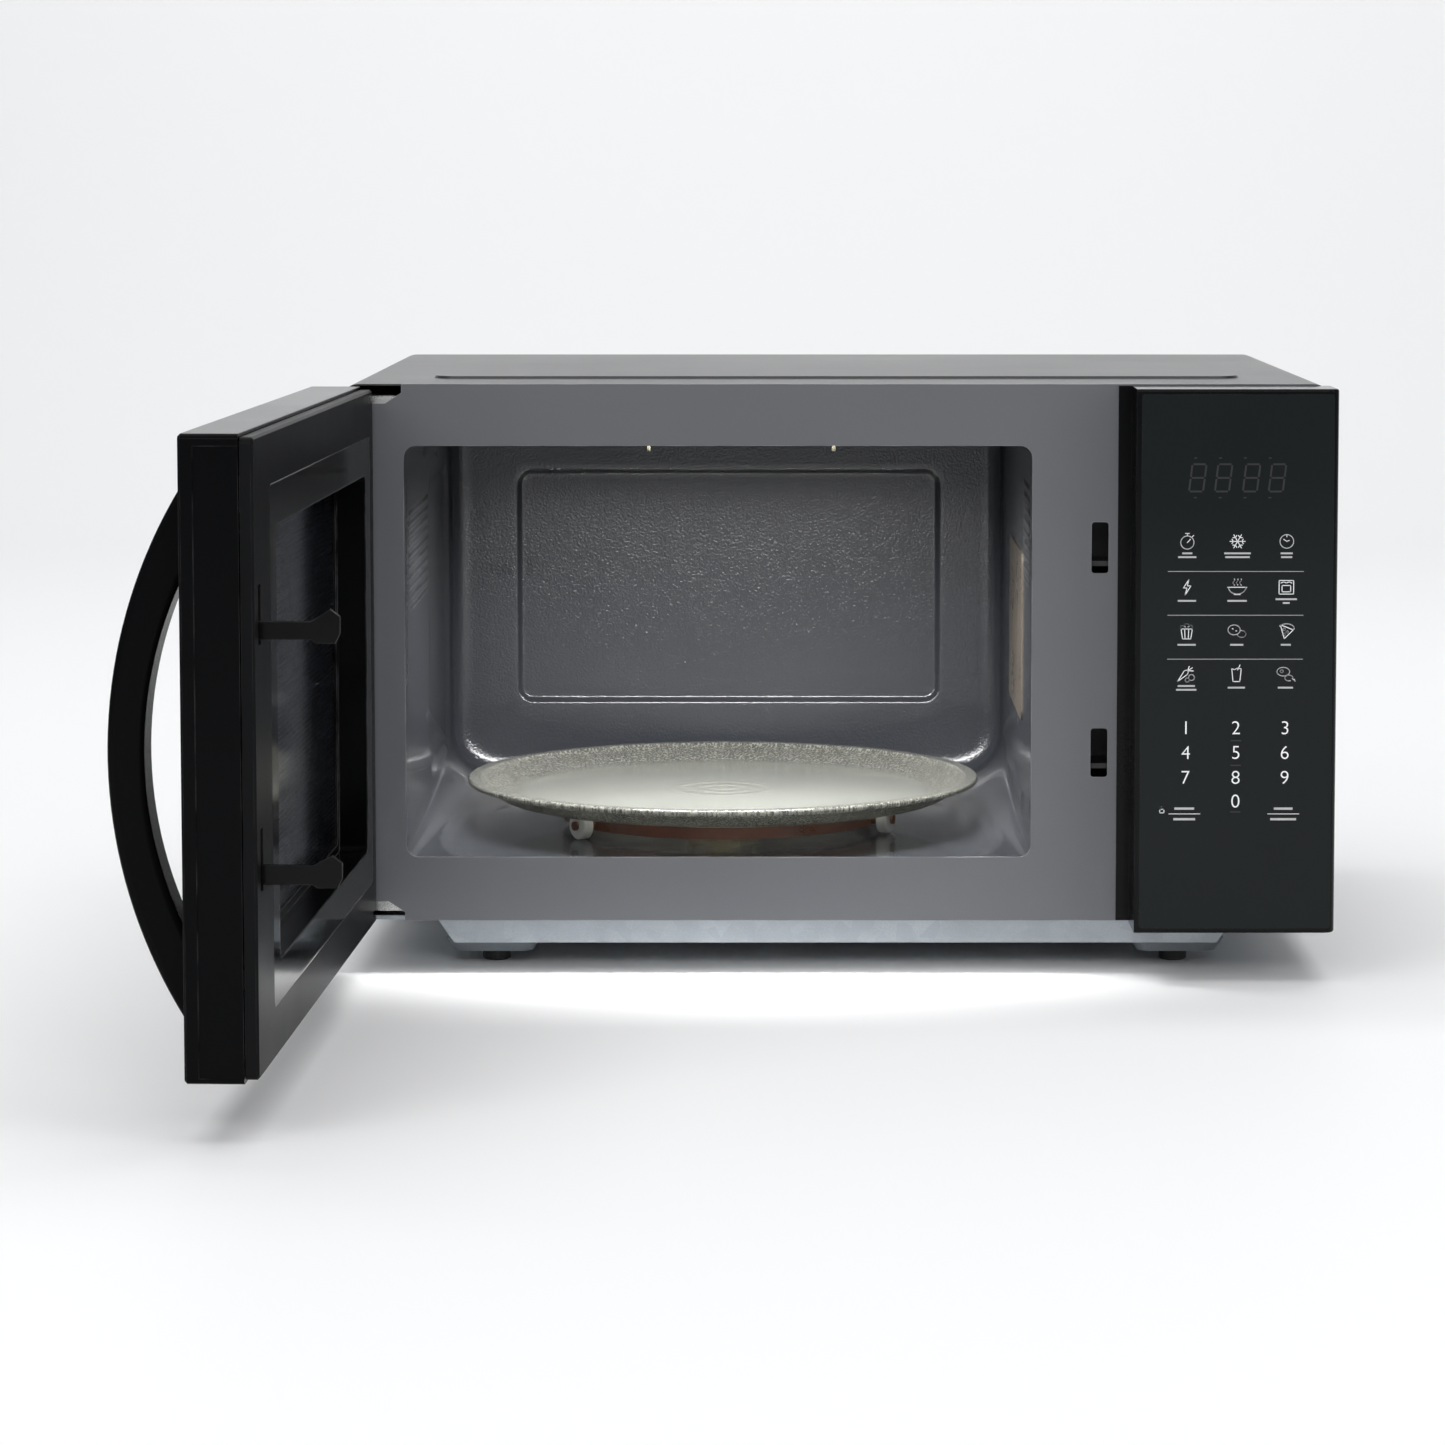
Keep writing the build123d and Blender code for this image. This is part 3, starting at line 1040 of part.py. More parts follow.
# ---------------------------------------------------------------- door inner plate, choke cover and screen
PLATE_INSET = 1.5
CHOKE_U0 = 8.0
CHOKE_U1 = 335.0
CHOKE_Z0 = 47.6
CHOKE_Z1 = 266.4
CHOKE_BORDER = 18.0
CHOKE_DEEP_V = -4.0
CHOKE_WALL = 1.6
SIGHT_U0 = CHOKE_U0 + CHOKE_BORDER
SIGHT_U1 = CHOKE_U1 - CHOKE_BORDER
SIGHT_Z0 = CHOKE_Z0 + CHOKE_BORDER
SIGHT_Z1 = CHOKE_Z1 - CHOKE_BORDER
PLATE_V0 = SHELL_V1 + 0.4
HOOK_SLOTS = ((203.0, 228.0), (102.0, 128.0))

with BuildPart() as door_inner_panel:
    with BuildSketch(door_face(DOOR_V1)):
        span(
            DOOR_U0 + PLATE_INSET, DOOR_U1 - PLATE_INSET,
            FRONT_LOW_Z + PLATE_INSET, FRONT_TOP_Z - PLATE_INSET, 3,
        )
    extrude(amount=DOOR_V1 - PLATE_V0)
    chamfer(faces().sort_by(Axis((0, 0, 0), tuple(door_face(0).z_dir)))[0].edges(), 1.0)
    with BuildSketch(door_face(DOOR_V1 - 1.0)):
        span(
            DOOR_U0 + PLATE_INSET + 1, DOOR_U1 - PLATE_INSET - 1,
            FRONT_LOW_Z + PLATE_INSET + 1, FRONT_TOP_Z - PLATE_INSET - 1, 2,
        )
    extrude(amount=DOOR_V1 - PLATE_V0, mode=Mode.SUBTRACT)
    with BuildSketch(door_face(DOOR_V1 + 1)):
        span(CHOKE_U0, CHOKE_U1, CHOKE_Z0, CHOKE_Z1, 4)
        for hook_low, hook_high in HOOK_SLOTS:
            span(LATCH_U - 3.5, LATCH_U + 3.5, hook_low, hook_high, 1)
    extrude(amount=4, mode=Mode.SUBTRACT)
    hinge_slots()
door_inner_panel.part.label = "door_inner_panel"
export_step(door_inner_panel.part, "parts/door_inner_panel.step")

with BuildPart() as choke_cover:
    with BuildSketch(door_face(DOOR_V1)):
        span(CHOKE_U0, CHOKE_U1, CHOKE_Z0, CHOKE_Z1, 4)
        span(SIGHT_U0, SIGHT_U1, SIGHT_Z0, SIGHT_Z1, 3, mode=Mode.SUBTRACT)
    extrude(amount=CHOKE_WALL)
    with BuildSketch(door_face(DOOR_V1 - CHOKE_WALL)):
        span(
            SIGHT_U0 - CHOKE_WALL, SIGHT_U1 + CHOKE_WALL,
            SIGHT_Z0 - CHOKE_WALL, SIGHT_Z1 + CHOKE_WALL, 3 + CHOKE_WALL,
        )
        span(SIGHT_U0, SIGHT_U1, SIGHT_Z0, SIGHT_Z1, 3, mode=Mode.SUBTRACT)
    extrude(amount=DOOR_V1 - CHOKE_WALL - CHOKE_DEEP_V)
    with BuildSketch(door_face(CHOKE_DEEP_V)):
        span(SIGHT_U0 - 5, SIGHT_U1 + 5, SIGHT_Z0 - 5, SIGHT_Z1 + 5, 4)
        span(SIGHT_U0 + 4, SIGHT_U1 - 4, SIGHT_Z0 + 4, SIGHT_Z1 - 4, 3, mode=Mode.SUBTRACT)
    extrude(amount=1.2)
choke_cover.part.label = "choke_cover"
export_step(choke_cover.part, "parts/choke_cover.step")

with BuildPart() as window_film:
    with BuildSketch(door_face(CHOKE_DEEP_V - 1.2)):
        span(SIGHT_U0 - 5, SIGHT_U1 + 5, SIGHT_Z0 - 5, SIGHT_Z1 + 5, 4)
    extrude(amount=0.4)
window_film.part.label = "window_film"
export_step(window_film.part, "parts/window_film.step")

with BuildPart() as door_screen:
    with BuildSketch(door_face(CHOKE_DEEP_V - 1.8)):
        span(SIGHT_U0 - 14, SIGHT_U1 + 14, SIGHT_Z0 - 14, SIGHT_Z1 + 14, 4)
    extrude(amount=0.8)
door_screen.part.label = "door_screen"
export_step(door_screen.part, "parts/door_screen.step")

# Plastic bushes that carry the hinge pins inside the door.
BUSH_TALL = 20.0
with BuildPart() as hinge_bushes:
    for bush_z in (UPPER_ARM_Z - ARM_GAP - BUSH_TALL - 0.2, LOWER_ARM_Z + ARM_THICK + ARM_GAP + 0.2):
        with BuildSketch(door_flat(bush_z)):
            span(DOOR_U0 + DOOR_WALL + 0.1, 7.5, -7, DOOR_V1 - 1.2)
            Circle(PIN_R + RUNNING_FIT, mode=Mode.SUBTRACT)
        extrude(amount=BUSH_TALL)
hinge_bushes.part.label = "hinge_bushes"
export_step(hinge_bushes.part, "parts/hinge_bushes.step")

# ---------------------------------------------------------------- handle
HANDLE_Z0 = 43.0
HANDLE_Z1 = 271.0
HANDLE_MID_Z = (HANDLE_Z0 + HANDLE_Z1) / 2
HANDLE_REACH = 33.7
GAP_HALF = 77.0
GAP_DEEP = 18.5

with BuildPart() as handle:
    with BuildSketch(door_side(HANDLE_U0)):
        with BuildLine():
            ThreePointArc(
                (DOOR_V0, HANDLE_Z0), (DOOR_V0 - HANDLE_REACH, HANDLE_MID_Z), (DOOR_V0, HANDLE_Z1)
            )
            Line((DOOR_V0, HANDLE_Z1), (DOOR_V0, HANDLE_MID_Z + GAP_HALF))
            ThreePointArc(
                (DOOR_V0, HANDLE_MID_Z + GAP_HALF),
                (DOOR_V0 - GAP_DEEP, HANDLE_MID_Z),
                (DOOR_V0, HANDLE_MID_Z - GAP_HALF),
            )
            Line((DOOR_V0, HANDLE_MID_Z - GAP_HALF), (DOOR_V0, HANDLE_Z0))
        make_face()
    extrude(amount=HANDLE_U1 - HANDLE_U0)
    fillet(edges().filter_by(GeomType.CIRCLE), 3.0)
    with BuildSketch(door_face(DOOR_V0 + 1)):
        with Locations(*HANDLE_SCREWS):
            Circle(SCREW_R + 0.1)
    extrude(amount=9, mode=Mode.SUBTRACT)
handle.part.label = "handle"
export_step(handle.part, "parts/handle.step")

with BuildPart() as handle_screws:
    make_screws(door_face(DOOR_V0 + DOOR_WALL), HANDLE_SCREWS, -1, 10.0)
handle_screws.part.label = "handle_screws"
export_step(handle_screws.part, "parts/handle_screws.step")

# ---------------------------------------------------------------- latch hooks and their spring
HOOK_TIP_V = DOOR_V1 + 33.0
HOOKS = ((205.5, 213.0, 204.0, 218.0), (105.0, 113.0, 103.6, 117.0))
SPRING_R = 3.0
SPRING_TURNS = 7

with BuildPart() as latch_hooks:
    for arm_low, arm_high, head_low, head_high in HOOKS:
        with BuildSketch(door_side(LATCH_U - LATCH_THICK / 2)):
            Polygon(
                (-2.0, arm_low),
                (HOOK_TIP_V - 12, arm_low),
                (HOOK_TIP_V - 10, head_low),
                (HOOK_TIP_V - 2, head_low),
                (HOOK_TIP_V, head_low + 4),
                (HOOK_TIP_V, head_high - 3),
                (HOOK_TIP_V - 4, head_high),
                (HOOK_TIP_V - 12, arm_high),
                (-2.0, arm_high),
                align=None,
            )
        extrude(amount=LATCH_THICK)
    with BuildSketch(door_side(LATCH_U - LATCH_THICK / 2)):
        span(-12, 2, BAR_Z0, BAR_Z1, 2)
    extrude(amount=LATCH_THICK)
latch_hooks.part.label = "latch_hooks"
export_step(latch_hooks.part, "parts/latch_hooks.step")

spring_foot = door_flat(BAR_Z1 + 0.4 + WIRE_R).from_local_coords(Vector(LATCH_U, -5, 0))
with BuildPart() as latch_spring:
    with BuildLine() as coil:
        Helix(
            pitch=SPRING_LONG / SPRING_TURNS, height=SPRING_LONG, radius=SPRING_R,
            center=tuple(spring_foot),
        )
    with BuildSketch(Plane(origin=coil.line @ 0, z_dir=coil.line % 0)):
        Circle(WIRE_R)
    sweep(path=coil.line, is_frenet=True)
latch_spring.part.label = "latch_spring"
export_step(latch_spring.part, "parts/latch_spring.step")
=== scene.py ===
"""Countertop microwave oven with grill, door open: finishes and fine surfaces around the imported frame.

Metres, +X right, +Y back, +Z up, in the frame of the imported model.
"""
from math import cos, pi, radians, sin

import bpy
import numpy as np
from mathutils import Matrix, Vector


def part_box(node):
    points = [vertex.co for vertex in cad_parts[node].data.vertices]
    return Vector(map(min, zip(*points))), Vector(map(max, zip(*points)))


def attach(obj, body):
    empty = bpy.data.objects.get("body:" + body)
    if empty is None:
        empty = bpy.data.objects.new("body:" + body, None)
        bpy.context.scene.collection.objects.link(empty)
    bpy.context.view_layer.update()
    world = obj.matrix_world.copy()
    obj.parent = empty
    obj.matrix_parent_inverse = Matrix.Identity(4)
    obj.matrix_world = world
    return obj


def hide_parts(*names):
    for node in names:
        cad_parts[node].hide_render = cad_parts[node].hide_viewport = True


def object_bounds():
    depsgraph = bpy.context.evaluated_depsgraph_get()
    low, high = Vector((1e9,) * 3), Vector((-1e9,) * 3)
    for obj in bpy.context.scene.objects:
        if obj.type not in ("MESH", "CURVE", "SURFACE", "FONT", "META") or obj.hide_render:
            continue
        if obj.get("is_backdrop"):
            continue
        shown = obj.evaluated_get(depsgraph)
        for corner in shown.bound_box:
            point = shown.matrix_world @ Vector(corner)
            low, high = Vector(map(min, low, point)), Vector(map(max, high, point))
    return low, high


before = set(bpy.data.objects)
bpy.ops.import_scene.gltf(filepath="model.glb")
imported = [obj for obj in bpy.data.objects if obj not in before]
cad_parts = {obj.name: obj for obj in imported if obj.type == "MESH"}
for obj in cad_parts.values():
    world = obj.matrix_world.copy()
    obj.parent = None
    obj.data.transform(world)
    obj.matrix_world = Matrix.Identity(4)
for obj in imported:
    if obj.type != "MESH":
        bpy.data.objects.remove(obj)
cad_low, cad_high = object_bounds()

# ================================================================ studio
# A pale seamless sweep under the oven, broad soft boxes above and in front of it, and a long lens
# a little above the cabinet's roof, turned slightly down.
frame_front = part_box("front_frame")[0].y
CAMERA_AWAY = 2.167
CAMERA_RIGHT = -0.024
CAMERA_HIGH = 0.397
CAMERA_DOWN = 4.94
SWEEP_HALF = 4.0
SWEEP_BACK = 2.2
SWEEP_BEND = 1.2

lens = bpy.data.cameras.new("camera")
lens.sensor_width = 36.0
lens.lens = 110.3
lens.shift_x = -0.0446
lens.shift_y = -0.12
camera = bpy.data.objects.new("camera", lens)
camera.location = (CAMERA_RIGHT, frame_front - CAMERA_AWAY, CAMERA_HIGH)
camera.rotation_euler = (radians(90.0 - CAMERA_DOWN), 0.0, 0.0)
bpy.context.scene.collection.objects.link(camera)
bpy.context.scene.camera = camera
bpy.context.scene.view_settings.view_transform = "Standard"


def soft_box(name, place, target, width, height, watts, spread=180.0):
    """Rectangular lamp at a place, facing a target, with its beam's spread in degrees."""
    lamp = bpy.data.lights.new(name, "AREA")
    lamp.shape = "RECTANGLE"
    lamp.size, lamp.size_y = width, height
    lamp.energy = watts
    lamp.spread = radians(spread)
    holder = bpy.data.objects.new(name, lamp)
    holder.location = place
    facing = Vector(target) - Vector(place)
    holder.rotation_euler = facing.to_track_quat("-Z", "Y").to_euler()
    bpy.context.scene.collection.objects.link(holder)


soft_box("top_box", (0.0, -0.3, 2.0), (0.0, 0.0, 0.2), 2.4, 1.8, 22.0)
soft_box("left_box", (-1.5, -2.2, 1.5), (0.0, -0.2, 0.15), 1.3, 1.3, 17.0)
soft_box("right_box", (1.9, -1.7, 1.0), (0.0, -0.2, 0.15), 1.0, 1.5, 11.0)
soft_box("front_box", (0.0, -2.7, 1.25), (0.0, 0.0, 0.15), 1.7, 0.6, 16.0)
soft_box("sweep_box", (0.0, 1.0, 3.2), (0.0, 3.4, 0.9), 4.0, 1.0, 62.0)
soft_box("cavity_light", (-0.058, -0.145, 0.252), (-0.058, -0.03, 0.0), 0.24, 0.04, 1.35, 118.0)

world = bpy.data.worlds.new("pale_room")
world.use_nodes = True
world.node_tree.nodes["Background"].inputs["Color"].default_value = (0.92, 0.95, 1.0, 1.0)
world.node_tree.nodes["Background"].inputs["Strength"].default_value = 0.24
bpy.context.scene.world = world


def mesh_object(name, points, faces, smooth=True):
    """New object at the origin from an (n, 3) array of points and a list or array of faces."""
    mesh = bpy.data.meshes.new(name)
    mesh.from_pydata(np.asarray(points, float).tolist(), [], [list(map(int, face)) for face in faces])
    mesh.shade_smooth() if smooth else mesh.shade_flat()
    made = bpy.data.objects.new(name, mesh)
    bpy.context.scene.collection.objects.link(made)
    return made


def grid_faces(rows, columns, wrap=False):
    """Quads of a rows x columns grid of points, closed across the columns if wrap is set."""
    last = columns if wrap else columns - 1
    row, column = np.meshgrid(np.arange(rows - 1), np.arange(last), indexing="ij")
    here = row * columns + column
    beside = row * columns + (column + 1) % columns
    return np.stack([here, beside, beside + columns, here + columns], axis=-1).reshape(-1, 4)


# The sweep runs level to the bend, follows a quarter circle and rises straight.
bend = np.linspace(0.0, pi / 2, 24)
sweep_y = np.concatenate([[-9.0], SWEEP_BACK + SWEEP_BEND * np.sin(bend), [SWEEP_BACK + SWEEP_BEND]])
sweep_z = np.concatenate([[0.0], SWEEP_BEND * (1 - np.cos(bend)), [7.0]])
sweep_x = np.array([-SWEEP_HALF, SWEEP_HALF])
sweep_points = np.stack(
    [
        np.tile(sweep_x, len(sweep_y)),
        np.repeat(sweep_y, 2),
        np.repeat(sweep_z, 2),
    ],
    axis=-1,
)
sweep = mesh_object("sweep", sweep_points, grid_faces(len(sweep_y), 2))
paper = bpy.data.materials.new("pale_paper")
paper.use_nodes = True
paper.node_tree.nodes["Principled BSDF"].inputs["Base Color"].default_value = (0.94, 0.94, 0.94, 1.0)
paper.node_tree.nodes["Principled BSDF"].inputs["Roughness"].default_value = 0.6
sweep.data.materials.append(paper)
sweep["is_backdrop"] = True

# ================================================================ base plate
# Deep-drawn galvanised pan under the cabinet, with pads pressed down for the feet.  Zinc shows as
# a faint spangle of crystals, with patches a little duller than the rest.


def linked(tree, kind, **values):
    """New node of a kind; values are socket numbers or names with a constant or a socket to link."""
    node = tree.nodes.new(kind)
    for key, value in values.items():
        socket = node.inputs[int(key[1:])] if key[0] == "i" and key[1:].isdigit() else node.inputs[key]
        if isinstance(value, bpy.types.NodeSocket):
            tree.links.new(value, socket)
        else:
            socket.default_value = value
    return node


def calculate(tree, operation, *terms):
    """Math node on up to three terms; returns its value."""
    node = tree.nodes.new("ShaderNodeMath")
    node.operation = operation
    for socket, term in zip(node.inputs, terms):
        if isinstance(term, bpy.types.NodeSocket):
            tree.links.new(term, socket)
        else:
            socket.default_value = term
    return node.outputs[0]


def blend_colours(tree, share, first, second):
    """Mix of two colours by a share."""
    node = tree.nodes.new("ShaderNodeMix")
    node.data_type = "RGBA"
    for socket, value in ((node.inputs[0], share), (node.inputs[6], first), (node.inputs[7], second)):
        if isinstance(value, bpy.types.NodeSocket):
            tree.links.new(value, socket)
        else:
            socket.default_value = value
    return node.outputs[2]


def stepped(tree, value, low, high, to_low=0.0, to_high=1.0):
    """Clamped linear step of a value from low..high to to_low..to_high."""
    node = tree.nodes.new("ShaderNodeMapRange")
    tree.links.new(value, node.inputs[0])
    for socket, number in zip(node.inputs[1:5], (low, high, to_low, to_high)):
        if isinstance(number, bpy.types.NodeSocket):
            tree.links.new(number, socket)
        else:
            socket.default_value = number
    return node.outputs[0]


def open_group(name, inputs, outputs):
    """New shader group with named sockets; returns the tree, its input node and its output node."""
    tree = bpy.data.node_groups.new(name, "ShaderNodeTree")
    for direction, sockets in (("INPUT", inputs), ("OUTPUT", outputs)):
        for label in sockets:
            kind = "NodeSocketColor" if label in ("Colour", "Second Colour") else "NodeSocketFloat"
            tree.interface.new_socket(label, in_out=direction, socket_type=kind)
    return tree, tree.nodes.new("NodeGroupInput").outputs, tree.nodes.new("NodeGroupOutput")


# Surface grain: slow cloudy patches shift the colour and the roughness; a fine noise is the height.
grain_group, given, out = open_group(
    "surface_grain",
    ("Colour", "Second Colour", "Patch Scale", "Grain Scale", "Roughness", "Roughness Spread"),
    ("Colour", "Roughness", "Height"),
)
where = grain_group.nodes.new("ShaderNodeTexCoord").outputs["Object"]
patches = linked(grain_group, "ShaderNodeTexNoise", Vector=where, Scale=given["Patch Scale"], Detail=5.0)
grains = linked(grain_group, "ShaderNodeTexNoise", Vector=where, Scale=given["Grain Scale"], Detail=3.0)
cloud = stepped(grain_group, patches.outputs["Fac"], 0.32, 0.68)
fine = stepped(grain_group, grains.outputs["Fac"], 0.3, 0.7)
share = calculate(grain_group, "MULTIPLY_ADD", fine, 0.35, calculate(grain_group, "MULTIPLY", cloud, 0.65))
tint = blend_colours(grain_group, share, given["Colour"], given["Second Colour"])
grain_group.links.new(tint, out.inputs["Colour"])
centred = calculate(grain_group, "SUBTRACT", share, 0.5)
shift = calculate(grain_group, "MULTIPLY", centred, given["Roughness Spread"])
grain_group.links.new(calculate(grain_group, "ADD", given["Roughness"], shift), out.inputs["Roughness"])
grain_group.links.new(grains.outputs["Fac"], out.inputs["Height"])

# Edge wear and painted highlight: where the surface turns sharply a rounded normal leaves the face's own, so
# it marks edges. Some finishes colour these edges as worn, others lighten them into painted highlight lines.
edge_wear_and_highlight_group, given, out = open_group("edge_wear_and_highlight", ("Width", "Break Scale"), ("Mask",))
rounded = linked(edge_wear_and_highlight_group, "ShaderNodeBevel", Radius=given["Width"])
rounded.samples = 4
facing = edge_wear_and_highlight_group.nodes.new("ShaderNodeNewGeometry").outputs["Normal"]
turned = edge_wear_and_highlight_group.nodes.new("ShaderNodeVectorMath")
turned.operation = "DOT_PRODUCT"
edge_wear_and_highlight_group.links.new(rounded.outputs[0], turned.inputs[0])
edge_wear_and_highlight_group.links.new(facing, turned.inputs[1])
edge = stepped(edge_wear_and_highlight_group, turned.outputs["Value"], 0.999, 0.85)
where = edge_wear_and_highlight_group.nodes.new("ShaderNodeTexCoord").outputs["Object"]
breaks = linked(edge_wear_and_highlight_group, "ShaderNodeTexNoise", Vector=where, Scale=given["Break Scale"], Detail=4.0)
patchy = stepped(edge_wear_and_highlight_group, breaks.outputs["Fac"], 0.38, 0.6)
edge_wear_and_highlight_group.links.new(calculate(edge_wear_and_highlight_group, "MULTIPLY", edge, patchy), out.inputs["Mask"])

# Dust: settles on what faces upwards, in soft patches.
dust_group, given, out = open_group("settled_dust", ("Amount", "Patch Scale"), ("Mask",))
upward = dust_group.nodes.new("ShaderNodeSeparateXYZ")
dust_group.links.new(dust_group.nodes.new("ShaderNodeNewGeometry").outputs["Normal"], upward.inputs[0])
level = stepped(dust_group, upward.outputs["Z"], 0.4, 1.0)
where = dust_group.nodes.new("ShaderNodeTexCoord").outputs["Object"]
specks = linked(dust_group, "ShaderNodeTexNoise", Vector=where, Scale=given["Patch Scale"], Detail=8.0)
settled = stepped(dust_group, specks.outputs["Fac"], 0.45, 0.75)
dust_group.links.new(
    calculate(dust_group, "MULTIPLY", calculate(dust_group, "MULTIPLY", level, settled), given["Amount"]),
    out.inputs["Mask"],
)


def start_material(name, metallic=0.0, coat=0.0, specular=0.5):
    """Empty Principled material with its plain constants set; returns the material, tree and shader."""
    made = bpy.data.materials.new(name)
    made.use_nodes = True
    shader = made.node_tree.nodes["Principled BSDF"]
    shader.inputs["Metallic"].default_value = metallic
    shader.inputs["Coat Weight"].default_value = coat
    shader.inputs["Specular IOR Level"].default_value = specular
    return made, made.node_tree, shader


def place_group(tree, group, **values):
    """Group node with its inputs set; underscores in the names stand for spaces."""
    node = tree.nodes.new("ShaderNodeGroup")
    node.node_tree = group
    for key, value in values.items():
        socket = node.inputs[key.replace("_", " ")]
        if isinstance(value, bpy.types.NodeSocket):
            tree.links.new(value, socket)
        else:
            socket.default_value = value
    return node.outputs


def bump(tree, shader, height, strength, distance):
    """Bump from a height into the shader's normal."""
    node = linked(tree, "ShaderNodeBump", Height=height, Strength=strength, Distance=distance)
    tree.links.new(node.outputs[0], shader.inputs["Normal"])


def grained(
    name, colour, second, patch=9.0, grain=900.0, rough=0.35, spread=0.15, metallic=0.0, coat=0.0,
    relief=0.1, depth=0.0002, wear_and_highlight_width=0.0, worn_and_highlight_colour=(0.5, 0.5, 0.5), dust=0.0, specular=0.5, soften=0.0,
):
    """Finished sheet or moulding: grain in colour, gloss and relief, edge colour for wear and for painted
    highlight, dust, softened edges.
    """
    made, tree, shader = start_material(name, metallic, coat, specular)
    body = place_group(
        tree, grain_group, Colour=(*colour, 1.0), Second_Colour=(*second, 1.0), Patch_Scale=patch,
        Grain_Scale=grain, Roughness=rough, Roughness_Spread=spread,
    )
    shade = body["Colour"]
    if wear_and_highlight_width > 0:
        mask = place_group(tree, edge_wear_and_highlight_group, Width=wear_and_highlight_width, Break_Scale=60.0)["Mask"]
        shade = blend_colours(tree, mask, shade, (*worn_and_highlight_colour, 1.0))
    gloss = body["Roughness"]
    if dust > 0:
        mask = place_group(tree, dust_group, Amount=dust, Patch_Scale=14.0)["Mask"]
        shade = blend_colours(tree, mask, shade, (0.45, 0.44, 0.42, 1.0))
        gloss = calculate(tree, "MAXIMUM", gloss, mask)
    tree.links.new(shade, shader.inputs["Base Color"])
    tree.links.new(gloss, shader.inputs["Roughness"])
    bump(tree, shader, body["Height"], relief, depth)
    if soften > 0:
        edges = linked(tree, "ShaderNodeBevel", Radius=soften)
        edges.samples = 6
        tree.links.new(edges.outputs[0], shader.inputs["Normal"].links[0].from_node.inputs["Normal"])
    return made


def finish_nodes(material, *names):
    """Gives CAD nodes a material in every slot."""
    for name in names:
        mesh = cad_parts[name].data
        if not mesh.materials:
            mesh.materials.append(material)
        for index in range(len(mesh.materials)):
            mesh.materials[index] = material


def zinc(name, tone, rough):
    """Galvanised sheet: crystal cells tilt the tone a little, with a fine grain over them."""
    made, tree, shader = start_material(name, metallic=1.0)
    place = tree.nodes.new("ShaderNodeTexCoord").outputs["Object"]
    crystals = linked(tree, "ShaderNodeTexVoronoi", Vector=place, Scale=130.0)
    cell = tree.nodes.new("ShaderNodeSeparateColor")
    tree.links.new(crystals.outputs["Color"], cell.inputs[0])
    light = tuple(min(1.0, part * 1.18) for part in tone)
    spangle = blend_colours(tree, cell.outputs[0], (*tone, 1.0), (*light, 1.0))
    body = place_group(
        tree, grain_group, Colour=spangle, Second_Colour=(*[part * 0.88 for part in tone], 1.0),
        Patch_Scale=30.0, Grain_Scale=1200.0, Roughness=rough, Roughness_Spread=0.14,
    )
    tree.links.new(body["Colour"], shader.inputs["Base Color"])
    tree.links.new(body["Roughness"], shader.inputs["Roughness"])
    bump(tree, shader, body["Height"], 0.08, 0.0001)
    return made


zinc_sheet = zinc("zinc_sheet", (0.33, 0.36, 0.385), 0.40)
finish_nodes(zinc_sheet, "base_plate", "rear_panel")

# ================================================================ feet
# Round studs of black rubber under the base plate's pads, each moulded in one piece.
# Their edges are scuffed grey in patches.
foot_rubber = grained(
    "foot_rubber", (0.012, 0.012, 0.012), (0.03, 0.03, 0.03), patch=60.0, grain=2600.0, rough=0.62,
    spread=0.2, relief=0.25, wear_and_highlight_width=0.0008, worn_and_highlight_colour=(0.12, 0.12, 0.12),
)
finish_nodes(foot_rubber, "front_feet", "rear_feet")

# ================================================================ outer cover
# One sheet of steel folded over the cabinet, with a raised field in the roof, sprayed in a
# semi-gloss black with a fine orange peel and stoved.
cover_paint = grained(
    "cover_paint", (0.011, 0.0115, 0.0125), (0.017, 0.0175, 0.019), patch=6.0, grain=1500.0, rough=0.3,
    spread=0.08, relief=0.22, depth=0.00025, wear_and_highlight_width=0.0006, worn_and_highlight_colour=(0.09, 0.09, 0.095), dust=0.04,
    specular=0.4,
)
finish_nodes(cover_paint, "outer_cover")

# ================================================================ front frame
# Pressed steel surround of the oven's mouth, which the cavity and the cover are fixed to.
# Its grey enamel is smoother and less glossy than the cavity's.
# The lighter edge colour is a painted highlight along the mouth's edge and the frame's other edges.
frame_enamel = grained(
    "frame_enamel", (0.105, 0.109, 0.118), (0.125, 0.129, 0.139), patch=5.0, grain=1300.0, rough=0.34,
    spread=0.07, coat=0.25, relief=0.05, wear_and_highlight_width=0.0006, worn_and_highlight_colour=(0.3, 0.31, 0.33),
)
finish_nodes(frame_enamel, "front_frame")

# ================================================================ cavity
# Deep-drawn steel box fired with grey enamel, its corners opening out towards the back.  The back has
# a recessed field, the floor a dished turntable well, the roof a grill recess, the sides beads and vents.
CAVITY_LEFT, CAVITY_RIGHT = -0.212, 0.0964
CAVITY_FLOOR, CAVITY_ROOF = 0.0569, 0.2605
CAVITY_MOUTH, CAVITY_BACK = -0.1707, 0.1385
BACK_FILLET = 0.010
FIELD = (-0.1745, 0.061, 0.0973, 0.227)
FIELD_DEEP = 0.0024
OUTWARD = (-1, 1, -1, 1)
WELL_CENTRE = (-0.0575, -0.045)
WELL_HALF = (0.142, 0.161)
BEAD_HALF = 0.0045
BEAD_HIGH = 0.0016
WALL_STEPS = (92, 56, 92, 56)
CORNER_STEPS = 12


def smooth_step(value, low, high):
    """0 below low, 1 above high, and 3t^2 - 2t^3 between them."""
    part = np.clip((value - low) / (high - low), 0.0, 1.0)
    return part * part * (3 - 2 * part)


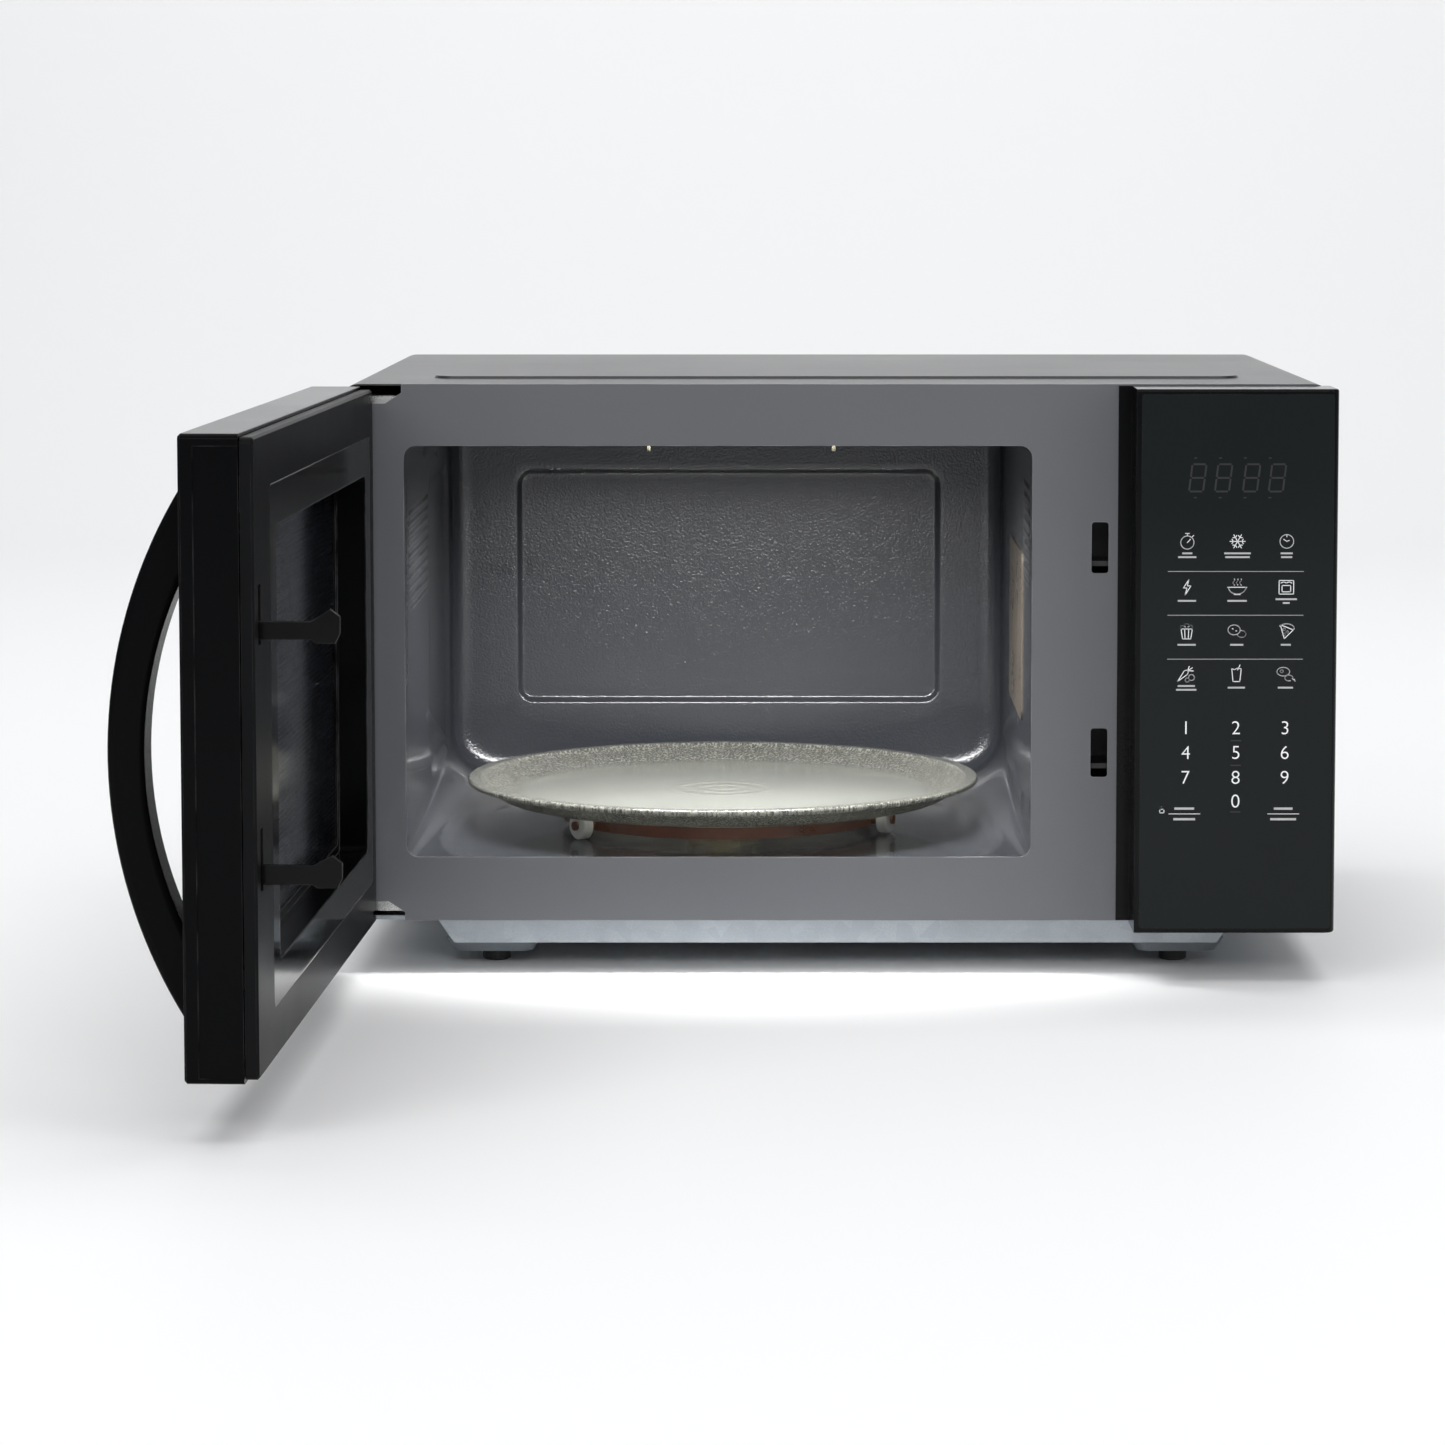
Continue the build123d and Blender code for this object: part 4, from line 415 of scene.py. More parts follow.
def box_distance(across, up, left, right, low, high, corner):
    """Signed distance to a rounded rectangle, negative inside it."""
    beyond_x = np.abs(across - (left + right) / 2) - (right - left) / 2 + corner
    beyond_z = np.abs(up - (low + high) / 2) - (high - low) / 2 + corner
    outside = np.hypot(np.maximum(beyond_x, 0), np.maximum(beyond_z, 0))
    return outside + np.minimum(np.maximum(beyond_x, beyond_z), 0) - corner


def bead(along, up, first, last, half):
    """Cosine-shaped ridge, 1 on the line from first to last and 0 further than half from it."""
    line = np.subtract(last, first)
    part = ((along - first[0]) * line[0] + (up - first[1]) * line[1]) / (line @ line)
    part = np.clip(part, 0.0, 1.0)
    away = np.hypot(along - first[0] - part * line[0], up - first[1] - part * line[1])
    return 0.5 + 0.5 * np.cos(pi * np.clip(away / half, 0.0, 1.0))


def wall_ring(left, right, low, high, low_corner, high_corner):
    """Rounded rectangle as (x, z) rows: floor, right wall, roof, left wall, with their corners between."""
    low_corner = min(low_corner, (right - left) / 2.01, (high - low) / 2.01)
    high_corner = min(high_corner, (right - left) / 2.01, (high - low) / 2.01)
    turns = np.linspace(0, pi / 2, CORNER_STEPS + 2)[1:-1]
    centres = (
        (right - low_corner, low + low_corner, low_corner, -pi / 2),
        (right - high_corner, high - high_corner, high_corner, 0.0),
        (left + high_corner, high - high_corner, high_corner, pi / 2),
        (left + low_corner, low + low_corner, low_corner, pi),
    )
    ends = (
        ((left + low_corner, low), (right - low_corner, low)),
        ((right, low + low_corner), (right, high - high_corner)),
        ((right - high_corner, high), (left + high_corner, high)),
        ((left, high - high_corner), (left, low + low_corner)),
    )
    rows = []
    for (start, end), steps, (x, z, corner, begin) in zip(ends, WALL_STEPS, centres):
        rows.append(np.linspace(start, end, steps))
        angles = begin + turns
        rows.append(np.stack([x + corner * np.cos(angles), z + corner * np.sin(angles)], axis=-1))
    return np.concatenate(rows)


# Rings run from the mouth to the back, round the back fillet, over the flat to the field, down its
# step and in over the field.
rings = []
for y in np.linspace(CAVITY_MOUTH, CAVITY_BACK - BACK_FILLET, 98):
    opening = (y - CAVITY_MOUTH) / (CAVITY_BACK - CAVITY_MOUTH)
    ring = wall_ring(
        CAVITY_LEFT, CAVITY_RIGHT, CAVITY_FLOOR, CAVITY_ROOF,
        0.0055 + 0.020 * opening, 0.0055 + 0.007 * opening,
    )
    rings.append((ring, y))
for turn in np.linspace(0, pi / 2, 11)[1:]:
    inset = BACK_FILLET * (1 - cos(turn))
    ring = wall_ring(
        CAVITY_LEFT + inset, CAVITY_RIGHT - inset, CAVITY_FLOOR + inset, CAVITY_ROOF - inset,
        0.0255 - inset * 0.6, 0.0125 - inset * 0.3,
    )
    rings.append((ring, CAVITY_BACK - BACK_FILLET * (1 - sin(turn))))
flat_edge = (
    CAVITY_LEFT + BACK_FILLET, CAVITY_RIGHT - BACK_FILLET,
    CAVITY_FLOOR + BACK_FILLET, CAVITY_ROOF - BACK_FILLET,
)
step_profile = [
    (-0.0016 + 0.0040 * part, FIELD_DEEP * smooth_step(part, 0.0, 1.0)) for part in np.linspace(0, 1, 11)
]
for part in np.linspace(0, 1, 12)[1:-1]:
    shape = [a + (b + c * 0.002 - a) * part for a, b, c in zip(flat_edge, FIELD, OUTWARD)]
    rings.append((wall_ring(*shape, 0.0195 - 0.0085 * part, 0.0095 + 0.0015 * part), CAVITY_BACK))
for inset, deep in step_profile:
    shape = [b - c * inset for b, c in zip(FIELD, OUTWARD)]
    rings.append((wall_ring(*shape, 0.008 - inset, 0.008 - inset), CAVITY_BACK + deep))
for inset in np.linspace(0.004, 0.062, 12):
    shape = [b - c * inset for b, c in zip(FIELD, OUTWARD)]
    rings.append((wall_ring(*shape, 0.006, 0.006), CAVITY_BACK + FIELD_DEEP))

ring_size = sum(WALL_STEPS) + 4 * CORNER_STEPS
shell = np.concatenate([np.insert(ring, 1, y, axis=1) for ring, y in rings]).reshape(len(rings), ring_size, 3)
starts = np.cumsum([0] + [steps + CORNER_STEPS for steps in WALL_STEPS])
floor_part, right_part, roof_part, left_part = (
    shell[:108, start:start + steps] for start, steps in zip(starts, WALL_STEPS)
)
# The well is a superellipse of the fourth power, pressed in two steps and faded out at the sill.
across = np.abs(floor_part[..., 0] - WELL_CENTRE[0]) / WELL_HALF[0]
along = np.abs(floor_part[..., 1] - WELL_CENTRE[1]) / WELL_HALF[1]
well_edge = ((across ** 4 + along ** 4) ** 0.25 - 1) * WELL_HALF[0]
well_depth = 0.0024 * smooth_step(-well_edge, 0.0, 0.0035) + 0.0043 * smooth_step(-well_edge, 0.008, 0.0125)
floor_part[..., 2] -= well_depth * smooth_step(floor_part[..., 1], -0.1685, -0.1635)
recess = box_distance(roof_part[..., 0], roof_part[..., 1], -0.15, 0.04, -0.092, 0.068, 0.012)
roof_part[..., 2] += 0.013 * smooth_step(-recess, -0.0015, 0.0035)
depth, height = left_part[..., 1], left_part[..., 2]
field_edge = box_distance(depth, height, -0.020, 0.108, 0.0755, 0.232, 0.016)
left_part[..., 0] -= 0.0015 * smooth_step(-field_edge, -0.002, 0.002)
for first, last in (((-0.0415, 0.248), (0.0295, 0.248)), ((-0.0345, 0.110), (0.0905, 0.081))):
    left_part[..., 0] += BEAD_HIGH * bead(depth, height, first, last, BEAD_HALF)
depth, height = right_part[..., 1], right_part[..., 2]
for first, last in (((-0.10, 0.0755), (0.098, 0.0755)), ((-0.04, 0.110), (0.092, 0.086))):
    right_part[..., 0] -= BEAD_HIGH * bead(depth, height, first, last, BEAD_HALF)

shell_faces = grid_faces(len(rings), ring_size, wrap=True).tolist()
shell_faces.append(list(range((len(rings) - 1) * ring_size, len(rings) * ring_size)))
cavity = mesh_object("cavity_shell", shell.reshape(-1, 3), shell_faces)
sheet_metal = cavity.modifiers.new("sheet", "SOLIDIFY")
sheet_metal.thickness = 0.0008
sheet_metal.offset = -1.0
sheet_metal.use_even_offset = False

# The light edge colour here is a painted highlight: it draws the back field's steps, the fillets and the
# corners as light lines.
cavity_enamel = grained(
    "cavity_enamel", (0.034, 0.037, 0.043), (0.041, 0.044, 0.051), patch=7.0, grain=800.0, rough=0.16,
    spread=0.06, coat=0.3, relief=0.6, depth=0.0005, wear_and_highlight_width=0.0016, worn_and_highlight_colour=(0.20, 0.205, 0.215), dust=0.03,
    specular=0.6,
)
cavity.data.materials.append(cavity_enamel)
finish_nodes(cavity_enamel, "cavity_box")
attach(cavity, "cabinet")
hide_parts("cavity_box")


def ring_discs(name, centres, inner, outer, lift, direction, count=12):
    """Flat rings (discs, with inner 0) facing +X or -X: (y + r cos t, z + r sin t) round each centre."""
    turns = np.arange(count) * 2 * pi / count
    sizes = np.array([outer, inner] if inner else [outer])[:, None]
    circle_y, circle_z = (sizes * np.cos(turns)).ravel(), (sizes * np.sin(turns)).ravel()
    x, y, z = (part[:, None] for part in np.asarray(centres, float).T)
    flat_x = np.broadcast_to(x + lift * direction, (len(centres), circle_y.size))
    points = np.stack([flat_x, y + circle_y, z + circle_z], axis=-1).reshape(-1, 3)
    here = np.arange(count)
    beside = (here + 1) % count
    one = np.stack([here, beside, beside + count, here + count], axis=-1) if inner else here[None]
    first = circle_y.size * np.arange(len(centres))[:, None, None]
    return mesh_object(name, points, (first + one).reshape(-1, one.shape[-1]), smooth=False)


# Vent holes as flat black discs of painted shade, each with a lighter ring round it: a single column beside
# the mouth, a patch high on each side wall.
column = [(CAVITY_LEFT, -0.1565, 0.1408 + 0.0035 * k) for k in range(30)]
patch = [
    (CAVITY_LEFT, -0.1445 + 0.0066 * k + 0.0033 * (row % 2), 0.1775 + 0.0053 * row)
    for row in range(10) for k in range(18)
]
lamp_patch = [(CAVITY_RIGHT, -0.145 + 0.0068 * k, 0.190 + 0.006 * row) for row in range(9) for k in range(8)]
# Near-black discs of painted shade stand in for the open holes.
hole_shade_black = grained(
    "hole_shade_black", (0.002, 0.002, 0.002), (0.004, 0.004, 0.004), rough=0.8, spread=0.1, specular=0.1,
)
rim_enamel = grained(
    "rim_enamel", (0.24, 0.245, 0.255), (0.32, 0.325, 0.335), patch=90.0, grain=900.0, rough=0.2,
    spread=0.1, coat=0.3,
)
for name, centres, size, way in (
    ("front_vents", column, 0.00125, 1),
    ("left_vents", patch, 0.0015, 1),
    ("right_vents", lamp_patch, 0.0018, -1),
):
    for suffix, inner, outer, lift, material in (
        ("_hole_shade", 0.0, size, 0.0001, hole_shade_black), ("_rims", size * 0.92, size * 1.3, 0.00016, rim_enamel)
    ):
        vents = ring_discs(name + suffix, centres, inner, outer, lift, way)
        vents.data.materials.append(material)
        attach(vents, "cabinet")

# Mica sheet over the waveguide's mouth, and the lamp behind its vents.
mica = grained(
    "mica", (0.085, 0.07, 0.055), (0.125, 0.105, 0.085), patch=35.0, grain=600.0, rough=0.32,
    spread=0.25, relief=0.15,
)
finish_nodes(mica, "waveguide_cover")

# ================================================================ grill heater
# Tubular grill element under the roof: a steel sheath over a packed heating wire.
# It has oxidised to straw and brown, and hangs in bright wire clips.
heater_steel = grained(
    "heater_steel", (0.42, 0.37, 0.27), (0.24, 0.19, 0.14), patch=45.0, grain=1500.0, rough=0.34,
    spread=0.2, metallic=1.0,
)
clip_steel = grained(
    "clip_steel", (0.75, 0.71, 0.60), (0.55, 0.50, 0.38), patch=80.0, grain=1500.0, rough=0.25,
    spread=0.15, metallic=1.0,
)
finish_nodes(heater_steel, "grill_heater")
finish_nodes(clip_steel, "heater_clips")

# ================================================================ vents' backing, waveguide and magnetron
# Behind the right wall: galvanised waveguide and air guide, the magnetron with its pressed yoke and
# bright aluminium fins, and the stirred air's plastic duct.
dull_zinc = zinc("dull_zinc", (0.36, 0.39, 0.42), 0.45)
finish_nodes(dull_zinc, "waveguide", "air_guide", "capacitor_clamp", "lamp_holder")
magnetron_steel = grained(
    "magnetron_steel", (0.42, 0.43, 0.44), (0.52, 0.53, 0.55), patch=30.0, grain=1400.0, rough=0.36,
    spread=0.16, metallic=1.0,
)
fin_aluminium = grained(
    "fin_aluminium", (0.72, 0.73, 0.74), (0.82, 0.83, 0.84), patch=40.0, grain=1800.0, rough=0.28,
    spread=0.14, metallic=1.0,
)
finish_nodes(magnetron_steel, "magnetron", "thermostats", "turntable_motor", "cover_screws", "handle_screws")
finish_nodes(fin_aluminium, "magnetron_fins", "capacitor")

# ================================================================ supply
# Laminated transformer core in dark varnish with copper windings, oil-filled capacitor, diode, fuse
# and the filter board.
core_varnish = grained(
    "core_varnish", (0.018, 0.016, 0.015), (0.05, 0.035, 0.025), patch=50.0, grain=700.0, rough=0.5,
    spread=0.2, relief=0.3,
)
finish_nodes(core_varnish, "transformer_core", "fan_motor")
winding_copper = grained(
    "winding_copper", (0.62, 0.26, 0.13), (0.45, 0.17, 0.08), patch=60.0, grain=1200.0, rough=0.3,
    spread=0.15, metallic=1.0,
)
finish_nodes(winding_copper, "transformer_windings")
dark_plastic = grained(
    "dark_plastic", (0.014, 0.014, 0.015), (0.022, 0.022, 0.023), patch=30.0, grain=1900.0, rough=0.42,
    spread=0.12, relief=0.15,
)
finish_nodes(
    dark_plastic, "high_voltage_diode", "cord_gland", "display_module", "latch_bracket",
    "upper_switch", "monitor_switch", "lower_switch",
)
board_resin = grained(
    "board_resin", (0.03, 0.11, 0.045), (0.045, 0.16, 0.065), patch=70.0, grain=1600.0, rough=0.38,
    spread=0.16, relief=0.1,
)
finish_nodes(board_resin, "filter_board", "control_board")
white_plastic = grained(
    "white_plastic", (0.70, 0.70, 0.67), (0.76, 0.76, 0.74), patch=40.0, grain=1400.0, rough=0.34,
    spread=0.12, relief=0.08,
)
finish_nodes(
    white_plastic, "fan_blade", "fan_duct", "hinge_bushes", "roller_wheel_1", "roller_wheel_2",
    "roller_wheel_3", "upper_switch_plunger", "monitor_switch_plunger", "lower_switch_plunger",
)


def clear_glass(name, colour, second, rough, spread, transmission=1.0):
    """Glass with a faint waviness; transmission stays a plain constant."""
    made, tree, shader = start_material(name)
    shader.inputs["Transmission Weight"].default_value = transmission
    shader.inputs["IOR"].default_value = 1.5
    body = place_group(
        tree, grain_group, Colour=(*colour, 1.0), Second_Colour=(*second, 1.0), Patch_Scale=12.0,
        Grain_Scale=500.0, Roughness=rough, Roughness_Spread=spread,
    )
    tree.links.new(body["Colour"], shader.inputs["Base Color"])
    tree.links.new(body["Roughness"], shader.inputs["Roughness"])
    return made, tree, shader, body["Height"]


lamp_glass, tree, shader, height = clear_glass(
    "lamp_glass", (0.95, 0.95, 0.93), (0.9, 0.9, 0.87), 0.05, 0.04
)
bump(tree, shader, height, 0.05, 0.0001)
finish_nodes(lamp_glass, "cavity_lamp", "fuse")

# ================================================================ turntable
# Motor under the floor, amber drive coupler, brown roller ring with three wheels, and a pressed
# glass tray: stippled band under the rim, smooth middle, embossed marks round the hub.
coupler_plastic = grained(
    "coupler_plastic", (0.42, 0.33, 0.19), (0.50, 0.40, 0.24), patch=60.0, grain=1500.0, rough=0.35,
    spread=0.12,
)
finish_nodes(coupler_plastic, "drive_coupler")
ring_plastic = grained(
    "ring_plastic", (0.13, 0.055, 0.035), (0.18, 0.08, 0.05), patch=45.0, grain=1500.0, rough=0.32,
    spread=0.14, relief=0.12,
)
finish_nodes(ring_plastic, "roller_ring")

tray_low, tray_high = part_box("glass_tray")
tray_centre = (tray_low + tray_high) / 2
tray_glass, tree, shader, height = clear_glass(
    "tray_glass", (0.51, 0.52, 0.465), (0.40, 0.41, 0.36), 0.09, 0.05, 0.6
)
place = linked(tree, "ShaderNodeMapping", Vector=tree.nodes.new("ShaderNodeTexCoord").outputs["Object"])
place.inputs["Scale"].default_value = (1.0, 1.0, 0.0)
radius = linked(tree, "ShaderNodeVectorMath", i0=place.outputs[0], i1=(tray_centre.x, tray_centre.y, 0.0))
radius.operation = "DISTANCE"
band_start = stepped(tree, radius.outputs["Value"], 0.1085, 0.1105)
band_end = stepped(tree, radius.outputs["Value"], 0.1285, 0.127)
stipple = linked(tree, "ShaderNodeTexVoronoi", Vector=place.outputs[0], Scale=1050.0)
band = calculate(tree, "MULTIPLY", band_start, band_end)
banded = calculate(tree, "MULTIPLY", band, stipple.outputs["Distance"])
# The band's tone is speckled light and dark: partly the stipple's own pattern, partly painted glints off it.
stipple_and_glint_tone = stepped(tree, stipple.outputs["Distance"], 0.2, 0.75, 0.12, 0.48)
yellowed = calculate(tree, "MULTIPLY", stipple_and_glint_tone, 0.88)
rim_stipple_and_glint_tone = linked(tree, "ShaderNodeCombineColor", i0=stipple_and_glint_tone, i1=stipple_and_glint_tone, i2=yellowed)
outward = stepped(tree, radius.outputs["Value"], 0.104, 0.111)
middle_tone = shader.inputs["Base Color"].links[0].from_socket
toned = blend_colours(tree, outward, middle_tone, rim_stipple_and_glint_tone.outputs[0])
tree.links.new(toned, shader.inputs["Base Color"])
ripples = calculate(tree, "SINE", calculate(tree, "MULTIPLY", radius.outputs["Value"], 560.0))
near_hub = stepped(tree, radius.outputs["Value"], 0.03, 0.028, 0.0, 0.25)
ripples = calculate(tree, "MULTIPLY", ripples, near_hub)
stippled = calculate(tree, "MULTIPLY", banded, 1.7)
wavy = calculate(tree, "MULTIPLY", height, 0.12)
pressed = calculate(tree, "ADD", calculate(tree, "ADD", stippled, wavy), ripples)
bump(tree, shader, pressed, 0.6, 0.0007)
finish_nodes(tray_glass, "glass_tray")

# ================================================================ hinges
# Pressed steel arms that reach through the frame's notches to the door's ends.
# They and the latch's spring are plated with bright zinc.
hinge_steel = grained(
    "hinge_steel", (0.62, 0.62, 0.60), (0.70, 0.70, 0.69), patch=60.0, grain=1700.0, rough=0.26,
    spread=0.16, metallic=1.0, wear_and_highlight_width=0.0005, worn_and_highlight_colour=(0.85, 0.85, 0.85),
)
finish_nodes(hinge_steel, "upper_hinge_bracket", "lower_hinge_bracket", "latch_spring")

# ================================================================ control panel
# Gloss black moulding with a flush glass face, a display window and a printed keypad: icons over
# caption bars, digits, and lines under the stop and start keys.
# The moulding's lighter edge colour is a painted highlight along its edges.
panel_moulding = grained(
    "panel_moulding", (0.0025, 0.0028, 0.0030), (0.0038, 0.0041, 0.0044), patch=10.0, grain=1200.0,
    rough=0.14, spread=0.05, relief=0.04, wear_and_highlight_width=0.0004, worn_and_highlight_colour=(0.03, 0.03, 0.032), specular=0.12,
)
finish_nodes(panel_moulding, "control_panel_frame")
panel_glass = grained(
    "panel_glass", (0.0105, 0.0130, 0.0136), (0.0125, 0.0150, 0.0156), patch=7.0, grain=700.0,
    rough=0.08, spread=0.04, relief=0.015, specular=0.1,
)
finish_nodes(panel_glass, "control_panel_face")
PRINT_LIFT = 0.00006
PRINT_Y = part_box("control_panel_face")[0].y - PRINT_LIFT
LINE = 0.0004
MILLIMETRE = 0.001
ICON_UNIT = 0.0011
DISPLAY_Z = 0.2471


def arc(x, z, wide, tall, begin, end, count=20):
    """Points along an ellipse's arc, angles in degrees."""
    turns = np.radians(np.linspace(begin, end, count))
    return np.stack([x + wide * np.cos(turns), z + tall * np.sin(turns)], axis=-1)


def printed(name, lines, centre, unit, width, material, body="cabinet"):
    """Flat print on the panel: each polyline, in units from a centre, drawn as quads of a width."""
    quads = []
    for line in lines:
        line = np.asarray(line, float) * unit + centre
        along = np.diff(line, axis=0)
        along *= width / 2 / np.maximum(np.hypot(*along.T), 1e-9)[:, None]
        across = np.stack([-along[:, 1], along[:, 0]], axis=-1)
        begin, finish = line[:-1] - along, line[1:] + along
        quads.append(np.stack([begin - across, finish - across, finish + across, begin + across], axis=1))
    corners = np.concatenate(quads).reshape(-1, 2)
    points = np.stack([corners[:, 0], np.full(len(corners), PRINT_Y), corners[:, 1]], axis=-1)
    made = mesh_object(name, points, np.arange(len(corners)).reshape(-1, 4), smooth=False)
    made.data.materials.append(material)
    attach(made, body)
    return made


print_white = grained(
    "print_white", (0.80, 0.81, 0.82), (0.88, 0.89, 0.90), patch=120.0, grain=2500.0, rough=0.5,
    spread=0.1,
)
print_grey = grained(
    "print_grey", (0.42, 0.425, 0.43), (0.50, 0.505, 0.51), patch=120.0, grain=2500.0, rough=0.5,
    spread=0.1,
)
print_faint = grained(
    "print_faint", (0.0085, 0.0095, 0.010), (0.011, 0.012, 0.0125), patch=120.0, grain=2500.0,
    rough=0.4, spread=0.1,
)
spokes = [(cos(k * pi / 3), sin(k * pi / 3)) for k in range(6)]
flake = [[(0, 0), (3.3 * a, 3.3 * b)] for a, b in spokes]
flake += [
    [(1.9 * a, 1.9 * b), (2.45 * a - 0.957 * way * b, 2.45 * b + 0.957 * way * a)]
    for a, b in spokes for way in (-1, 1)
]
steam = [[(x + 0.35 * sin(2.4 * z), z) for z in np.linspace(1.0, 3.6, 9)] for x in (-1.5, 0.0, 1.5)]
ICONS = {
    "stopwatch": [
        arc(0, -0.5, 2.9, 2.9, 0, 360, 28), [(0, -0.5), (1.3, 0.9)], [(-0.8, 3.5), (0.8, 3.5)],
        [(0, 3.5), (0, 2.5)], [(2.2, 2.1), (2.7, 2.6)],
    ],
    "snowflake": flake,
    "clock": [arc(0, 0, 3.0, 3.0, 0, 360, 28), [(-1.3, 0.9), (0, 0), (1.0, 0.4)], [(0, 2.7), (0, 2.1)]],
    "bolt": [[(0.8, 3.4), (-1.6, -0.3), (0, -0.3), (-0.8, -3.4), (1.7, 0.6), (0.1, 0.6), (0.8, 3.4)]],
    "bowl": [arc(0, 0, 3.8, 3.0, 180, 360), [(-4.2, 0), (4.2, 0)], [(-1.3, -3.2), (1.3, -3.2)], *steam],
    "grill": [
        [(-3.2, -3), (3.2, -3), (3.2, 3), (-3.2, 3), (-3.2, -3)],
        [(-1.9, -2), (1.9, -2), (1.9, 0.8), (-1.9, 0.8), (-1.9, -2)],
        [(-2.4, 1.9), (-1.2, 2.4), (0, 1.9), (1.2, 2.4), (2.4, 1.9)],
    ],
    "tub": [
        [(-2.5, 1.0), (-1.8, -3.4), (1.8, -3.4), (2.5, 1.0), (-2.5, 1.0)],
        [(-0.9, 1.0), (-0.7, -3.4)], [(0.9, 1.0), (0.7, -3.4)],
        arc(-1.6, 1.6, 1.0, 1.0, 20, 220, 12), arc(0, 2.2, 1.1, 1.1, 0, 180, 12),
        arc(1.6, 1.6, 1.0, 1.0, -40, 160, 12),
    ],
    "potatoes": [
        arc(-1.2, 0.6, 2.7, 2.2, 0, 360, 26), arc(2.1, -1.2, 1.9, 1.5, -170, 95, 20),
        [(-2.0, 1.1), (-1.7, 1.0)], [(-0.4, 0.2), (-0.1, 0.1)],
    ],
    "pizza": [
        [(-2.5, 2.9), (-0.7, -3.3), (3.2, 0.6), (-2.5, 2.9)], arc(0.2, 1.3, 3.4, 2.0, 150, -8, 14),
        arc(-0.8, 0.9, 0.55, 0.55, 0, 360, 10), arc(0.6, -0.3, 0.5, 0.5, 0, 360, 10),
        arc(-0.6, -1.3, 0.4, 0.4, 0, 360, 10),
    ],
    "vegetables": [
        [(-3.8, -3.2), (-0.9, 1.5), (0.3, 1.8), (0.9, 0.9), (0.4, -0.2), (-3.8, -3.2)],
        [(0.6, 1.5), (1.2, 3.4)], [(0.6, 1.5), (2.6, 2.8)], [(0.6, 1.5), (3.0, 1.4)],
        arc(2.3, -1.5, 1.3, 1.3, 0, 360, 16), arc(0.4, -2.6, 0.9, 0.9, 0, 360, 14),
    ],
    "glass": [
        [(-2.1, 2.4), (-1.5, -3.3), (1.5, -3.3), (2.1, 2.4)],
        [(-2.1, 2.4), (-0.9, 2.0), (0.3, 2.6), (2.1, 2.4)], [(0.5, 1.9), (1.5, 4.0)],
    ],
    "meats": [
        arc(-1.0, 1.1, 2.8, 1.9, 0, 360, 24), arc(-1.7, 1.3, 0.7, 0.6, 0, 360, 12),
        arc(1.5, -1.7, 1.8, 1.3, -20, 290, 18), [(3.0, -2.0), (4.1, -2.8)], [(3.9, -2.3), (4.2, -3.1)],
    ],
}
KEY_X = (0.1697, 0.1940, 0.2178)
ICON_Z = (0.2163, 0.1940, 0.1726, 0.1517)
# Widths of the caption bars under each icon, in millimetres, row by row.
CAPTIONS = (
    ((5, 9), (13, 12), (6, 5.5)), ((9,), (9.5,), (10.5, 3.5)), ((9,), (6.5,), (5,)),
    ((8.5, 10), (8.5,), (7.5,)),
)
for number, (name, lines) in enumerate(ICONS.items()):
    row, column_x = divmod(number, 3)
    printed("icon_" + name, lines, (KEY_X[column_x], ICON_Z[row]), ICON_UNIT, LINE, print_white)
    bars = CAPTIONS[row][column_x]
    words = [[(-wide / 2 + 0.5, -1.85 * k), (wide / 2 - 0.5, -1.85 * k)] for k, wide in enumerate(bars)]
    caption_z = ICON_Z[row] - 0.0066 + 0.0008 * (len(bars) - 1)
    printed("caption_" + name, words, (KEY_X[column_x], caption_z), MILLIMETRE, 0.00085, print_grey)
for z in (0.2017, 0.1804, 0.1590):
    printed("divider", [[(0, 0), (65.5, 0)]], (0.1605, z), MILLIMETRE, 0.00025, print_grey)
for name, left, bars in (("stop", 0.1617, (8.5, 9.5)), ("start", 0.2098, (8.0, 11.5))):
    printed(name + "_line", [[(0, 0), (15.1, 0)]], (left, 0.0833), MILLIMETRE, 0.0003, print_white)
    words = [[(7.5 - wide / 2, z), (7.5 + wide / 2, z)] for wide, z in zip(bars, (2.6, -2.6))]
    printed(name + "_caption", words, (left, 0.0833), MILLIMETRE, 0.0011, print_grey)
printed(
    "lock", [[(-1, -1.4), (1, -1.4), (1, 0.3), (-1, 0.3), (-1, -1.4)], arc(0, 0.3, 0.65, 1.2, 0, 180, 10)],
    (0.1583, 0.0852), MILLIMETRE, LINE, print_white,
)
for z in (0.1192, 0.1071, 0.0843):
    printed("underline", [[(-2.2, 0), (2.2, 0)]], (KEY_X[1], z), MILLIMETRE, 0.0007, print_faint)


def digit(text, x, z, tall):
    """Single printed digit as a flat mesh, centred at (x, z) on the panel."""
    curve = bpy.data.curves.new("digit_" + text, "FONT")
    curve.body = text
    curve.size = tall / 0.72
    curve.offset = -0.0001
    curve.align_x, curve.align_y = "CENTER", "CENTER"
    holder = bpy.data.objects.new("digit_curve", curve)
    flat_mesh = bpy.data.meshes.new_from_object(holder)
    bpy.data.objects.remove(holder)
    outline = np.array([vertex.co[:] for vertex in flat_mesh.vertices])
    middle = (outline.min(axis=0) + outline.max(axis=0)) / 2
    across, up = outline[:, 0] - middle[0] + x, outline[:, 1] - middle[1] + z
    spots = np.stack([across, np.full(len(outline), PRINT_Y), up], axis=-1)
    faces = [list(face.vertices) for face in flat_mesh.polygons]
    made = mesh_object("digit_" + text, spots, faces, smooth=False)
    made.data.materials.append(print_white)
    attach(made, "cabinet")


for number in range(1, 10):
    digit(str(number), KEY_X[(number - 1) % 3], (0.1255, 0.1134, 0.1012)[(number - 1) // 3], 0.0068)
digit("0", KEY_X[1], 0.0896, 0.0068)

